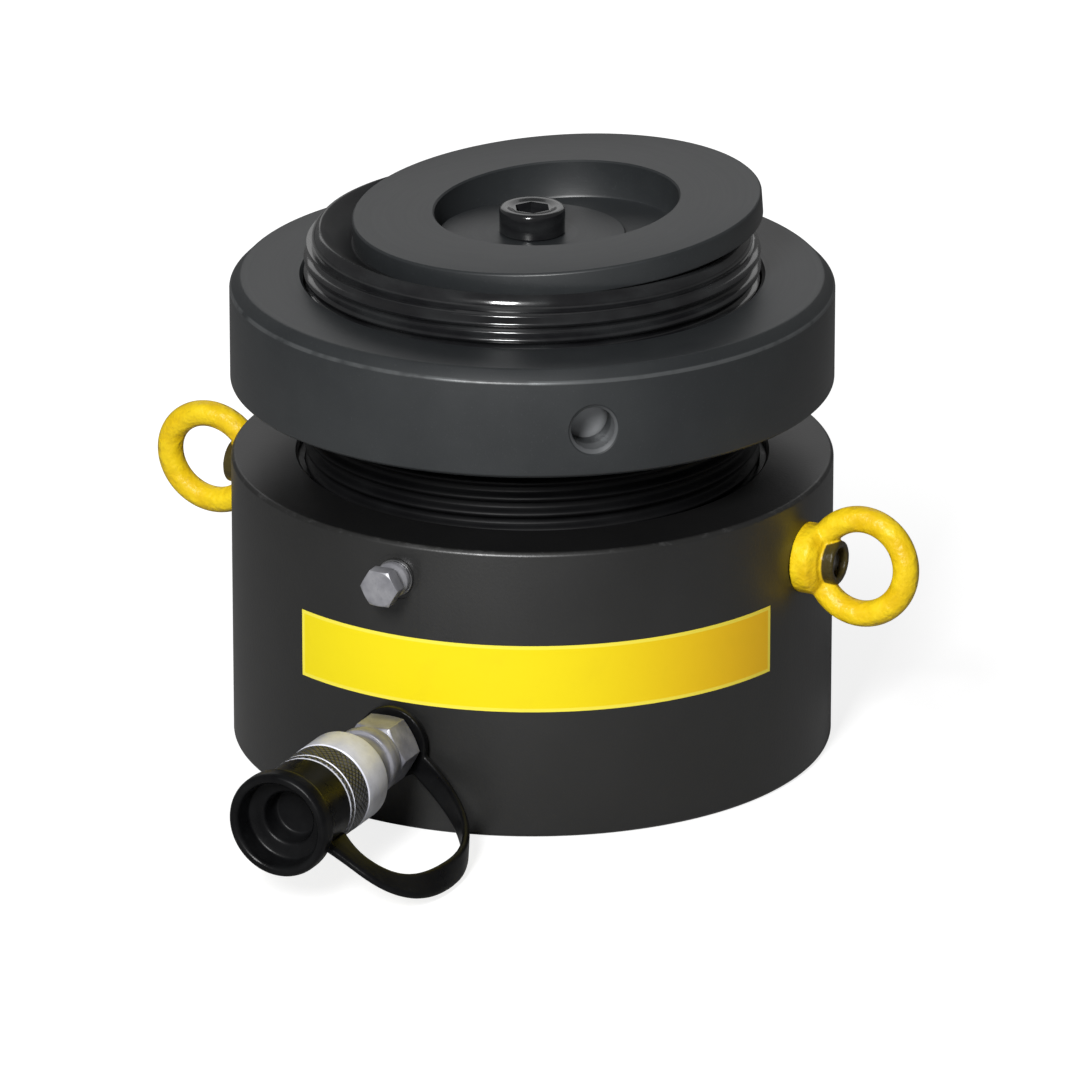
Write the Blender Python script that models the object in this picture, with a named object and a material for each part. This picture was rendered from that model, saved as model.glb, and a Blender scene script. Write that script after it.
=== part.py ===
"""Low-height lock-nut hydraulic cylinder with a tilting saddle, its plunger standing 40 mm out.

Metres, +Z up. The origin is the centre of the flat base. The hydraulic coupler points along -Y, the
overflow plug is above it, and the two lifting eyes stand on +X and -X. Oil lifts the plunger, the
lock nut is then run down its thread onto the body to hold the load, and the saddle tilts in a
spherical seat so that the load stays square on the plunger.
"""

import math

import bmesh
import bpy
from mathutils import Matrix, Vector
from mathutils.geometry import interpolate_bezier

# Gaps: what touches keeps SEAT_GAP, what slides or turns keeps RUN_GAP.
SEAT_GAP = 0.0003
RUN_GAP = 0.0003
OVERCUT = 0.004

# Cylinder body.
BORE_RADIUS = 0.0855
WALL_THICKNESS = 0.0245
BODY_HEIGHT = 0.109
BASE_THICKNESS = 0.026
EDGE_CHAMFER = 0.0012
BORE_CHAMFER = 0.001
WIPER_HEIGHT = 0.005
WIPER_DEPTH = 0.003
WIPER_COVER = 0.0025

# Plunger: the piston head, its thread and its collar.
STROKE_LEFT = 0.008
MOUTH_HEIGHT = 0.009
PISTON_HEIGHT = 0.026
PISTON_CLEARANCE = 0.0005
PISTON_CHAMFER = 0.0012
RING_DEPTH = 0.0032
BEARING_OFFSET = 0.003
BEARING_HEIGHT = 0.009
SEAL_OFFSET = 0.0165
SEAL_HEIGHT = 0.0052
BACKUP_HEIGHT = 0.0015
THREAD_INSET = 0.0025
THREAD_DEPTH = 0.003
NECK_LENGTH = 0.003
COLLAR_INSET = 0.003
COLLAR_HEIGHT = 0.0052
COLLAR_CHAMFER = 0.0008
COLLAR_LAND = 0.0023

# Lock nut.
NUT_LIFT = 0.0280
NUT_HEIGHT = 0.040
NUT_PROUD = 0.0178
NUT_TOP_CHAMFER = 0.0042
NUT_BOTTOM_CHAMFER = 0.0012
NUT_CLEARANCE = 0.00035
BAR_HOLE_COUNT = 3
BAR_HOLE_RADIUS = 0.008
BAR_HOLE_DEPTH = 0.0145
BAR_HOLE_CONE = 0.002
BAR_HOLE_COUNTERSINK = 0.0015
BAR_HOLE_RISE = -0.0022
BAR_HOLE_AZIMUTH = math.radians(37.6)

# Saddle, its spherical seat and the screw that keeps it.
SEAT_RADIUS = 0.1504
SEAT_CLEARANCE = 0.0004
TILT = math.radians(4.3)
TILT_AZIMUTH = math.radians(42)
SADDLE_RADIUS = 0.0745
SADDLE_RIM = 0.0086
SADDLE_CHAMFER = 0.0006
SADDLE_LAND = 0.030
RECESS_DEPTH = 0.0145
SPOTFACE_RADIUS = 0.0135
SPOTFACE_DEPTH = 0.0008
SPACER_RADIUS = 0.0097
SCREW_RADIUS = 0.008
SCREW_DEPTH = 0.022
SCREW_HEAD_RADIUS = 0.012
SCREW_HEAD_HEIGHT = 0.0095
SCREW_CHAMFER = 0.001
SCREW_SOCKET_FLATS = 0.012
SCREW_SOCKET_DEPTH = 0.0055
WASHER_CLEARANCE = 0.0107
WASHER_THICKNESS = 0.002

# Overflow plug.
PLUG_FLATS = 0.013
PLUG_LENGTH = 0.0126
PLUG_HEX_LENGTH = 0.0056
PLUG_NECK_RADIUS = 0.0052
PLUG_FLANGE_RADIUS = 0.0064
PLUG_FLANGE_THICKNESS = 0.0036
PLUG_SHANK_RADIUS = 0.0045
PLUG_SHANK_LENGTH = 0.010
PLUG_WASHER_RADIUS = 0.0068
PLUG_WASHER_THICKNESS = 0.0015
PLUG_SPOTFACE_RADIUS = 0.0085
OVERFLOW_RADIUS = 0.002
HEX_CORNER_CHAMFER = 0.0009

# Lifting eyes: a ring on a collar, screwed on a stud.
EYE_DROP = 0.0243
EYE_RING_RADIUS = 0.0175
EYE_WIRE_RADIUS = 0.0047
EYE_RING_RISE = 0.0008
EYE_TURN = math.radians(5.5)
EYE_COLLAR_RADIUS = 0.0127
EYE_COLLAR_HEIGHT = 0.0095
EYE_COLLAR_TAPER = 0.002
EYE_HUB_RADIUS = 0.0078
EYE_HUB_HEIGHT = 0.0145
EYE_SPOTFACE_DEPTH = 0.001
STUD_RADIUS = 0.005
STUD_DEPTH = 0.012
STUD_SUNK = 0.004
STUD_CHAMFER = 0.0008

# Hydraulic coupler, along -Y out of the body.
PORT_RISE = 0.008
PORT_RADIUS = 0.0085
PORT_DEPTH = 0.014
OIL_BORE_RADIUS = 0.004
NIPPLE_NECK = 0.0065
NIPPLE_HEX_FLATS = 0.0225
NIPPLE_HEX_LENGTH = 0.0135
SPIGOT_RADIUS = 0.0065
SPIGOT_LENGTH = 0.012
SHELL_RADIUS = 0.012
SHELL_SHOULDER = 0.0187
SHELL_CHAMFER = 0.0012
SHELL_RING_HEIGHT = 0.0008
SHELL_RING_START = 0.0035
SHELL_RING_LENGTH = 0.0045
FRONT_RADIUS = 0.0112
CHAMBER_RADIUS = 0.0084
ORIFICE_RADIUS = 0.0052
ORIFICE_LIP = 0.004
SLEEVE_RADIUS = 0.017
SLEEVE_LENGTH = 0.0296
SLEEVE_GRIP_LENGTH = 0.011
SLEEVE_LIP_LENGTH = 0.002
SLEEVE_GRIP_INSET = 0.0005
POPPET_HEAD = 0.005
POPPET_STEM_RADIUS = 0.0022
POPPET_STEM_LENGTH = 0.008
POPPET_TRAVEL = 0.003
SPRING_RADIUS = 0.0052
SPRING_WIRE = 0.0006
SPRING_TURNS = 5

# Dust cap and the strap that keeps it.
CAP_RADIUS = 0.0168
CAP_GRIP = 0.005
CAP_WEB = 0.0025
CUP_RADIUS = 0.0094
CUP_DEPTH = 0.0172
CUP_CHAMFER = 0.0012
FUNNEL_RADIUS = 0.0155
FUNNEL_DEPTH = 0.0085
FUNNEL_SLOPE = 0.0015
FLANGE_RADIUS = 0.0193
FLANGE_THICKNESS = 0.0075
FLANGE_ROUND = 0.0016
STRAP_WIDTH = 0.0095
STRAP_ROOT_WIDTH = 0.015
STRAP_ROOT_LENGTH = 0.014
STRAP_THICKNESS = 0.0028
STRAP_RING_RADIUS = 0.0135
STRAP_RING_OFFSET = 0.0019
STRAP_DROP = math.radians(33)
STRAP_BULGE = 0.0515
STRAP_TURN = 0.014
STRAP_STEPS = 9

# Facets round a turn.
OUTER_SEGMENTS = 64
PLUNGER_SEGMENTS = 38
MEDIUM_SEGMENTS = 24
SMALL_SEGMENTS = 20
ARC_STEPS = 6
EYE_SECTION_SEGMENTS = 10

# Worked out from the sizes above.
BODY_RADIUS = BORE_RADIUS + WALL_THICKNESS
THREAD_RADIUS = BORE_RADIUS - THREAD_INSET
PISTON_RADIUS = BORE_RADIUS - PISTON_CLEARANCE
STROKE = BODY_HEIGHT - MOUTH_HEIGHT - PISTON_HEIGHT - BASE_THICKNESS
EXTENSION = STROKE - STROKE_LEFT
PISTON_BOTTOM = BASE_THICKNESS + SEAT_GAP + EXTENSION
PISTON_TOP = PISTON_BOTTOM + PISTON_HEIGHT
GROOVE_RADIUS = PISTON_RADIUS - RING_DEPTH
SEAL_GROOVE = SEAL_HEIGHT + BACKUP_HEIGHT + 3 * SEAT_GAP
NUT_BOTTOM = BODY_HEIGHT + NUT_LIFT
NUT_TOP = NUT_BOTTOM + NUT_HEIGHT
PLUNGER_TOP = NUT_TOP + NUT_PROUD
OVERFLOW_HEIGHT = PISTON_TOP - EXTENSION + STROKE - PISTON_HEIGHT + SEAL_OFFSET + SEAL_HEIGHT
COLLAR_RADIUS = THREAD_RADIUS - COLLAR_INSET
SEAT_RIM = COLLAR_RADIUS - COLLAR_CHAMFER - COLLAR_LAND
SEAT_CENTRE = PLUNGER_TOP + math.sqrt(SEAT_RADIUS**2 - SEAT_RIM**2)
SADDLE_SPHERE = SEAT_RADIUS - SEAT_CLEARANCE
RECESS_RADIUS = SADDLE_RADIUS - SADDLE_LAND
WASHER_RADIUS = RECESS_RADIUS - WASHER_CLEARANCE
SADDLE_HOLE = SPACER_RADIUS + SADDLE_SPHERE * math.sin(TILT) + RUN_GAP
SADDLE_TOP = math.sqrt(SADDLE_SPHERE**2 - SADDLE_RADIUS**2) - SADDLE_RIM
RECESS_FLOOR = SADDLE_TOP + RECESS_DEPTH
SPOTFACE_HEIGHT = SEAT_CENTRE - math.sqrt(SEAT_RADIUS**2 - SPOTFACE_RADIUS**2) - SPOTFACE_DEPTH
WASHER_BOTTOM = (
    SEAT_CENTRE - RECESS_FLOOR / math.cos(TILT) + WASHER_RADIUS * math.tan(TILT) + SEAT_GAP
)
SCREW_SEAT = WASHER_BOTTOM + WASHER_THICKNESS + SEAT_GAP
PORT_HEIGHT = BASE_THICKNESS + PORT_RISE
EYE_HEIGHT = BODY_HEIGHT - EYE_DROP
EYE_SEAT = BODY_RADIUS - EYE_SPOTFACE_DEPTH + SEAT_GAP
EYE_SPOTFACE_RADIUS = EYE_COLLAR_RADIUS + SEAT_GAP

# Distances out from the body's side along the coupler.
HEX_END = NIPPLE_NECK + NIPPLE_HEX_LENGTH
SPIGOT_END = HEX_END + SPIGOT_LENGTH
SHELL_START = HEX_END + SEAT_GAP
SHOULDER_END = SHELL_START + SHELL_SHOULDER
SLEEVE_START = SHOULDER_END + SEAT_GAP
SLEEVE_END = SLEEVE_START + SLEEVE_LENGTH
CAP_START = SLEEVE_END + SEAT_GAP
SHELL_END = CAP_START + CAP_GRIP
ORIFICE_START = SHELL_END - ORIFICE_LIP
CAP_WEB_START = SHELL_END + SEAT_GAP
CUP_FLOOR = CAP_WEB_START + CAP_WEB
CAP_END = CUP_FLOOR + CUP_DEPTH
FLANGE_START = CAP_END - FLANGE_THICKNESS
POPPET_FRONT = ORIFICE_START - SEAT_GAP
POPPET_BACK = POPPET_FRONT - POPPET_HEAD
SPRING_START = SPIGOT_END + SEAT_GAP + SPRING_WIRE
SPRING_END = POPPET_BACK - POPPET_TRAVEL - SEAT_GAP - SPRING_WIRE

BLACK_PAINT = ((0.045, 0.047, 0.050), 0.42, 0.1)
BLACK_OXIDE = ((0.055, 0.058, 0.060), 0.38, 0.7)
GLOSSY_THREAD = ((0.012, 0.012, 0.013), 0.22, 0.6)
BRIGHT_ZINC = ((0.62, 0.63, 0.64), 0.28, 1.0)
STEEL = ((0.45, 0.45, 0.46), 0.35, 1.0)
BLACK_RUBBER = ((0.012, 0.012, 0.013), 0.5, 0.0)
YELLOW_PAINT = ((0.86, 0.56, 0.01), 0.38, 0.0)
SEAL_PLASTIC = ((0.75, 0.72, 0.62), 0.5, 0.0)
SEAL_RUBBER = ((0.03, 0.06, 0.16), 0.5, 0.0)
BRONZE = ((0.62, 0.42, 0.18), 0.4, 1.0)


def clear_scene():
    for item in list(bpy.data.objects):
        bpy.data.objects.remove(item, do_unlink=True)


def make_object(name, shape, finish=None, sharp_angle=math.radians(32)):
    """Turns a bmesh into a smooth-shaded object with its own material."""
    bmesh.ops.remove_doubles(shape, verts=shape.verts[:], dist=1e-7)
    bmesh.ops.recalc_face_normals(shape, faces=shape.faces[:])
    mesh = bpy.data.meshes.new(name)
    shape.to_mesh(mesh)
    shape.free()
    mesh.shade_smooth()
    mesh.set_sharp_from_angle(angle=sharp_angle)
    item = bpy.data.objects.new(name, mesh)
    bpy.context.scene.collection.objects.link(item)
    if finish:
        colour, roughness, metallic = finish
        material = bpy.data.materials.new(name)
        material.use_nodes = True
        shader = material.node_tree.nodes["Principled BSDF"]
        shader.inputs["Base Color"].default_value = (*colour, 1)
        shader.inputs["Roughness"].default_value = roughness
        shader.inputs["Metallic"].default_value = metallic
        mesh.materials.append(material)
    return item


def spun(profile, segments, ring=False):
    """A bmesh turned about +Z from (radius, height) points. A ring's profile closes on itself."""
    shape = bmesh.new()
    points = [shape.verts.new((radius, 0, height)) for radius, height in profile]
    pairs = list(zip(points, points[1:]))
    if ring:
        pairs.append((points[-1], points[0]))
    edges = [shape.edges.new(pair) for pair in pairs]
    bmesh.ops.spin(
        shape,
        geom=points + edges,
        cent=(0, 0, 0),
        axis=(0, 0, 1),
        angle=math.tau,
        steps=segments,
        use_merge=True,
    )
    return shape


def turned(name, profile, segments, finish=None, ring=False):
    return make_object(name, spun(profile, segments, ring), finish)


def hexagon(name, flats, bottom, top, finish=None):
    """A hexagonal prism about +Z with one flat facing +Y."""
    shape = bmesh.new()
    corner = flats / 2 / math.cos(math.pi / 6)
    made = bmesh.ops.create_circle(shape, cap_ends=True, radius=corner, segments=6)
    bmesh.ops.rotate(
        shape, verts=made["verts"], cent=(0, 0, 0), matrix=Matrix.Rotation(math.pi / 6, 3, "Z")
    )
    grown = bmesh.ops.extrude_face_region(shape, geom=shape.faces[:])
    raised = [part for part in grown["geom"] if isinstance(part, bmesh.types.BMVert)]
    bmesh.ops.translate(shape, verts=shape.verts[:], vec=(0, 0, bottom))
    bmesh.ops.translate(shape, verts=raised, vec=(0, 0, top - bottom))
    return make_object(name, shape, finish)


def aim(item, origin, direction):
    """Puts an object built along +Z at origin, pointing along direction."""
    item.location = origin
    item.rotation_mode = "QUATERNION"
    item.rotation_quaternion = Vector(direction).to_track_quat("Z", "Y")


def boolean(item, tool, operation):
    """Adds a Boolean with a helper object, which stays in the scene as a hidden wire."""
    tool.hide_render = True
    tool.display_type = "WIRE"
    step = item.modifiers.new(tool.name, "BOOLEAN")
    step.operation = operation
    step.solver = "EXACT"
    step.object = tool
    return item


def pivot(name, location):
    empty = bpy.data.objects.new(name, None)
    empty.empty_display_size = 0.03
    empty.location = location
    bpy.context.scene.collection.objects.link(empty)
    return empty


def hang_on(parent, *items):
    """Parents objects that were placed in world coordinates, leaving them where they are."""
    bpy.context.view_layer.update()
    for item in items:
        item.parent = parent
        item.matrix_parent_inverse = parent.matrix_world.inverted()


def hex_chamfer_tool(name, flats, bottom, top):
    """A turned blank whose ends are coned, so that a hexagon cut to it has chamfered corners."""
    corner = flats / 2 / math.cos(math.pi / 6) + HEX_CORNER_CHAMFER / 2
    end = flats / 2 - HEX_CORNER_CHAMFER / 4
    slope = (corner - end) * math.tan(math.radians(30))
    profile = [(0, bottom), (end, bottom), (corner, bottom + slope)]
    profile += [(corner, top - slope), (end, top), (0, top)]
    return turned(name, profile, MEDIUM_SEGMENTS)


def radial(azimuth):
    """The outward direction at an angle from -Y towards +X."""
    return Vector((math.sin(azimuth), -math.cos(azimuth), 0))


def arc(centre_height, radius, start_radius, end_radius, steps):
    """Points of a circle about (0, centre_height), on its lower side, from one radius to another."""
    start = math.asin(start_radius / radius)
    end = math.asin(end_radius / radius)
    angles = [start + (end - start) * step / steps for step in range(steps + 1)]
    return [(radius * math.sin(a), centre_height - radius * math.cos(a)) for a in angles]


def plug_place():
    """Where the overflow plug's axis meets the body's side, and the way that it points."""
    outward = radial(0)
    return outward * BODY_RADIUS + Vector((0, 0, OVERFLOW_HEIGHT)), outward


def make_cylinder_body():
    """One forging: base, wall and bore, with the wiper's groove, the ports and the studs' holes."""
    groove_top = BODY_HEIGHT - WIPER_COVER
    groove_bottom = groove_top - WIPER_HEIGHT - 2 * SEAT_GAP
    groove_radius = BORE_RADIUS + WIPER_DEPTH
    body = turned(
        "cylinder_body",
        [
            (0, 0),
            (BODY_RADIUS - EDGE_CHAMFER, 0),
            (BODY_RADIUS, EDGE_CHAMFER),
            (BODY_RADIUS, BODY_HEIGHT - EDGE_CHAMFER),
            (BODY_RADIUS - EDGE_CHAMFER, BODY_HEIGHT),
            (BORE_RADIUS + BORE_CHAMFER, BODY_HEIGHT),
            (BORE_RADIUS, BODY_HEIGHT - BORE_CHAMFER),
            (BORE_RADIUS, groove_top),
            (groove_radius, groove_top),
            (groove_radius, groove_bottom),
            (BORE_RADIUS, groove_bottom),
            (BORE_RADIUS, BASE_THICKNESS + BORE_CHAMFER),
            (BORE_RADIUS - BORE_CHAMFER, BASE_THICKNESS),
            (0, BASE_THICKNESS),
        ],
        OUTER_SEGMENTS,
        BLACK_PAINT,
    )
    port = turned(
        "port_cut",
        [
            (0, -WALL_THICKNESS - OVERCUT),
            (OIL_BORE_RADIUS, -WALL_THICKNESS - OVERCUT),
            (OIL_BORE_RADIUS, -PORT_DEPTH),
            (PORT_RADIUS, -PORT_DEPTH),
            (PORT_RADIUS, OVERCUT),
            (0, OVERCUT),
        ],
        SMALL_SEGMENTS,
    )
    aim(port, (0, -BODY_RADIUS, PORT_HEIGHT), radial(0))
    boolean(body, port, "DIFFERENCE")
    shank_hole = PLUG_SHANK_RADIUS + SEAT_GAP
    shank_floor = -EDGE_CHAMFER - PLUG_SHANK_LENGTH
    spotface = math.sqrt(BODY_RADIUS**2 - PLUG_SPOTFACE_RADIUS**2) - BODY_RADIUS
    overflow = turned(
        "overflow_cut",
        [
            (0, -WALL_THICKNESS - OVERCUT),
            (OVERFLOW_RADIUS, -WALL_THICKNESS - OVERCUT),
            (OVERFLOW_RADIUS, shank_floor),
            (shank_hole, shank_floor),
            (shank_hole, spotface),
            (PLUG_SPOTFACE_RADIUS, spotface),
            (PLUG_SPOTFACE_RADIUS, OVERCUT),
            (0, OVERCUT),
        ],
        SMALL_SEGMENTS,
    )
    aim(overflow, *plug_place())
    boolean(body, overflow, "DIFFERENCE")
    for side in ("right", "left"):
        outward = eye_direction(side)
        stud_hole = STUD_RADIUS + SEAT_GAP
        cut = turned(
            f"eye_cut_{side}",
            [
                (0, -STUD_DEPTH - SEAT_GAP),
                (stud_hole, -STUD_DEPTH - SEAT_GAP),
                (stud_hole, -EYE_SPOTFACE_DEPTH),
                (EYE_SPOTFACE_RADIUS, -EYE_SPOTFACE_DEPTH),
                (EYE_SPOTFACE_RADIUS, OVERCUT),
                (0, OVERCUT),
            ],
            SMALL_SEGMENTS,
        )
        aim(cut, outward * BODY_RADIUS + Vector((0, 0, EYE_HEIGHT)), outward)
        boolean(body, cut, "DIFFERENCE")
    return body


def make_rod_wiper():
    """A lipped ring in the mouth of the bore, which keeps grit out of the gap round the thread."""
    top = BODY_HEIGHT - WIPER_COVER - SEAT_GAP
    bottom = top - WIPER_HEIGHT
    outer = BORE_RADIUS + WIPER_DEPTH - SEAT_GAP
    lip = THREAD_RADIUS + RUN_GAP
    body_of_lip = (BORE_RADIUS + lip) / 2
    profile = [(outer, bottom), (outer, top), (body_of_lip, top), (lip, top), (body_of_lip, bottom)]
    return turned("rod_wiper", profile, PLUNGER_SEGMENTS, BLACK_RUBBER, ring=True)


def eye_direction(side):
    return Vector((1, 0, 0)) if side == "right" else Vector((-1, 0, 0))


def make_eye(side):
    """A forged ring on a round collar with a hub, bored for its stud and turned a little on it."""
    outward = eye_direction(side)
    seat = outward * EYE_SEAT + Vector((0, 0, EYE_HEIGHT))
    ring_centre = EYE_RING_RISE + EYE_RING_RADIUS + EYE_WIRE_RADIUS
    turn = EYE_TURN * outward.x
    nut = turned(
        f"eye_nut_{side}",
        [
            (0, 0),
            (EYE_COLLAR_RADIUS, 0),
            (EYE_COLLAR_RADIUS, EYE_COLLAR_HEIGHT - EYE_COLLAR_TAPER),
            (EYE_COLLAR_RADIUS - EYE_COLLAR_TAPER, EYE_COLLAR_HEIGHT),
            (EYE_HUB_RADIUS, EYE_COLLAR_HEIGHT),
            (EYE_HUB_RADIUS, EYE_HUB_HEIGHT),
            (0, EYE_HUB_HEIGHT),
        ],
        SMALL_SEGMENTS,
        YELLOW_PAINT,
    )
    ring_profile = [
        (
            EYE_RING_RADIUS + EYE_WIRE_RADIUS * math.cos(math.tau * step / EYE_SECTION_SEGMENTS),
            EYE_WIRE_RADIUS * math.sin(math.tau * step / EYE_SECTION_SEGMENTS),
        )
        for step in range(EYE_SECTION_SEGMENTS)
    ]
    ring = turned(f"eye_ring_{side}", ring_profile, MEDIUM_SEGMENTS, ring=True)
    bore = turned(
        f"eye_bore_{side}",
        [
            (0, -OVERCUT),
            (STUD_RADIUS + SEAT_GAP, -OVERCUT),
            (STUD_RADIUS + SEAT_GAP, ring_centre),
            (0, ring_centre),
        ],
        SMALL_SEGMENTS,
    )
    aim(nut, seat, outward)
    aim(ring, seat + outward * ring_centre, (0, math.cos(turn), -math.sin(turn)))
    aim(bore, seat, outward)
    boolean(nut, ring, "UNION")
    boolean(nut, bore, "DIFFERENCE")
    return nut


def make_eye_stud(side):
    outward = eye_direction(side)
    end = EYE_HUB_HEIGHT + EYE_SPOTFACE_DEPTH - STUD_SUNK
    stud = turned(
        f"eye_stud_{side}",
        [
            (0, -STUD_DEPTH),
            (STUD_RADIUS - STUD_CHAMFER, -STUD_DEPTH),
            (STUD_RADIUS, STUD_CHAMFER - STUD_DEPTH),
            (STUD_RADIUS, end - STUD_CHAMFER),
            (STUD_RADIUS - STUD_CHAMFER, end),
            (0, end),
        ],
        SMALL_SEGMENTS,
        STEEL,
    )
    aim(stud, outward * BODY_RADIUS + Vector((0, 0, EYE_HEIGHT)), outward)
    return stud


def make_overflow_plug():
    """A hexagon plug and its sealing washer. Oil leaves here if the plunger is pumped too far."""
    spotface = math.sqrt(BODY_RADIUS**2 - PLUG_SPOTFACE_RADIUS**2)
    washer_bottom = spotface - BODY_RADIUS + SEAT_GAP
    flange_bottom = washer_bottom + PLUG_WASHER_THICKNESS + SEAT_GAP
    flange_top = flange_bottom + PLUG_FLANGE_THICKNESS
    head_top = flange_bottom + PLUG_LENGTH
    head_bottom = head_top - PLUG_HEX_LENGTH
    place = plug_place()
    plug = hexagon("overflow_plug", PLUG_FLATS, head_bottom, head_top, BRIGHT_ZINC)
    blank = hex_chamfer_tool("plug_blank", PLUG_FLATS, head_bottom, head_top)
    overlap = head_bottom + PLUG_HEX_LENGTH / 2
    shank = turned(
        "plug_shank",
        [
            (0, -PLUG_SHANK_LENGTH),
            (PLUG_SHANK_RADIUS, -PLUG_SHANK_LENGTH),
            (PLUG_SHANK_RADIUS, flange_bottom),
            (PLUG_FLANGE_RADIUS, flange_bottom),
            (PLUG_FLANGE_RADIUS, flange_top),
            (PLUG_NECK_RADIUS, flange_top),
            (PLUG_NECK_RADIUS, overlap),
            (0, overlap),
        ],
        SMALL_SEGMENTS,
    )
    washer = turned(
        "overflow_plug_washer",
        [
            (PLUG_SHANK_RADIUS + SEAT_GAP, washer_bottom),
            (PLUG_WASHER_RADIUS, washer_bottom),
            (PLUG_WASHER_RADIUS, washer_bottom + PLUG_WASHER_THICKNESS),
            (PLUG_SHANK_RADIUS + SEAT_GAP, washer_bottom + PLUG_WASHER_THICKNESS),
        ],
        SMALL_SEGMENTS,
        STEEL,
        ring=True,
    )
    for item in (plug, blank, shank, washer):
        aim(item, *place)
    boolean(plug, blank, "INTERSECT")
    boolean(plug, shank, "UNION")
    return plug, washer


def make_plunger():
    """Piston head with its ring grooves, the threaded rod, the collar and the saddle's seat."""
    bearing = PISTON_BOTTOM + BEARING_OFFSET
    bearing_end = bearing + BEARING_HEIGHT + 2 * SEAT_GAP
    seal = PISTON_BOTTOM + SEAL_OFFSET - SEAT_GAP
    seal_end = seal + SEAL_GROOVE
    root = THREAD_RADIUS - THREAD_DEPTH
    thread_bottom = BODY_HEIGHT - STROKE_LEFT - NECK_LENGTH
    screw_hole = SCREW_RADIUS + SEAT_GAP
    hole_floor = SPOTFACE_HEIGHT - SCREW_DEPTH
    profile = [
        (0, PISTON_BOTTOM),
        (PISTON_RADIUS - PISTON_CHAMFER, PISTON_BOTTOM),
        (PISTON_RADIUS, PISTON_BOTTOM + PISTON_CHAMFER),
        (PISTON_RADIUS, bearing),
        (GROOVE_RADIUS, bearing),
        (GROOVE_RADIUS, bearing_end),
        (PISTON_RADIUS, bearing_end),
        (PISTON_RADIUS, seal),
        (GROOVE_RADIUS, seal),
        (GROOVE_RADIUS, seal_end),
        (PISTON_RADIUS, seal_end),
        (PISTON_RADIUS, PISTON_TOP - PISTON_CHAMFER),
        (PISTON_RADIUS - PISTON_CHAMFER, PISTON_TOP),
        (root, PISTON_TOP),
        (root, thread_bottom),
        (THREAD_RADIUS, thread_bottom + THREAD_DEPTH),
        (THREAD_RADIUS, PLUNGER_TOP - COLLAR_HEIGHT - COLLAR_INSET),
        (COLLAR_RADIUS, PLUNGER_TOP - COLLAR_HEIGHT),
        (COLLAR_RADIUS, PLUNGER_TOP - COLLAR_CHAMFER),
        (COLLAR_RADIUS - COLLAR_CHAMFER, PLUNGER_TOP),
    ]
    profile += reversed(arc(SEAT_CENTRE, SEAT_RADIUS, SPOTFACE_RADIUS, SEAT_RIM, ARC_STEPS))
    profile += [
        (SPOTFACE_RADIUS, SPOTFACE_HEIGHT),
        (screw_hole, SPOTFACE_HEIGHT),
        (screw_hole, hole_floor),
        (0, hole_floor - screw_hole),
    ]
    return turned("plunger", profile, PLUNGER_SEGMENTS, GLOSSY_THREAD)


def make_piston_rings():
    """The bearing band, the lip seal and the back-up ring in the piston's grooves."""
    inner = GROOVE_RADIUS + SEAT_GAP
    outer = BORE_RADIUS - RUN_GAP
    bearing = PISTON_BOTTOM + BEARING_OFFSET + SEAT_GAP
    bearing_top = bearing + BEARING_HEIGHT
    band = [(inner, bearing), (outer, bearing), (outer, bearing_top), (inner, bearing_top)]
    bearing_ring = turned("piston_bearing", band, PLUNGER_SEGMENTS, BRONZE, ring=True)
    seal = PISTON_BOTTOM + SEAL_OFFSET
    seal_top = seal + SEAL_HEIGHT
    notch = ((inner + outer) / 2, seal + SEAL_HEIGHT * 0.45)
    lips = [(inner, seal), notch, (outer, seal), (outer, seal_top), (inner, seal_top)]
    seal_ring = turned("piston_seal", lips, PLUNGER_SEGMENTS, SEAL_RUBBER, ring=True)
    backup = seal_top + SEAT_GAP
    backup_top = backup + BACKUP_HEIGHT
    flat = [(inner, backup), (outer, backup), (outer, backup_top), (inner, backup_top)]
    backup_ring = turned("seal_backup_ring", flat, PLUNGER_SEGMENTS, SEAL_PLASTIC, ring=True)
    return bearing_ring, seal_ring, backup_ring


def make_lock_nut():
    """The ring that is run down the thread onto the body, with blind holes for a tommy bar."""
    bore = THREAD_RADIUS + NUT_CLEARANCE
    nut = turned(
        "lock_nut",
        [
            (bore, NUT_BOTTOM),
            (BODY_RADIUS - NUT_BOTTOM_CHAMFER, NUT_BOTTOM),
            (BODY_RADIUS, NUT_BOTTOM + NUT_BOTTOM_CHAMFER),
            (BODY_RADIUS, NUT_TOP - NUT_TOP_CHAMFER),
            (BODY_RADIUS - NUT_TOP_CHAMFER, NUT_TOP),
            (bore, NUT_TOP),
        ],
        OUTER_SEGMENTS,
        BLACK_OXIDE,
        ring=True,
    )
    mouth = BAR_HOLE_RADIUS + BAR_HOLE_COUNTERSINK
    for index in range(BAR_HOLE_COUNT):
        outward = radial(BAR_HOLE_AZIMUTH + math.tau * index / BAR_HOLE_COUNT)
        hole = turned(
            f"bar_hole_{index + 1}",
            [
                (0, -BAR_HOLE_DEPTH - BAR_HOLE_CONE),
                (BAR_HOLE_RADIUS, -BAR_HOLE_DEPTH),
                (BAR_HOLE_RADIUS, -BAR_HOLE_COUNTERSINK),
                (mouth + OVERCUT, OVERCUT),
                (0, OVERCUT),
            ],
            SMALL_SEGMENTS,
        )
        middle = Vector((0, 0, NUT_BOTTOM + NUT_HEIGHT / 2 + BAR_HOLE_RISE))
        aim(hole, outward * BODY_RADIUS + middle, outward)
        boolean(nut, hole, "DIFFERENCE")
    return nut


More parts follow.
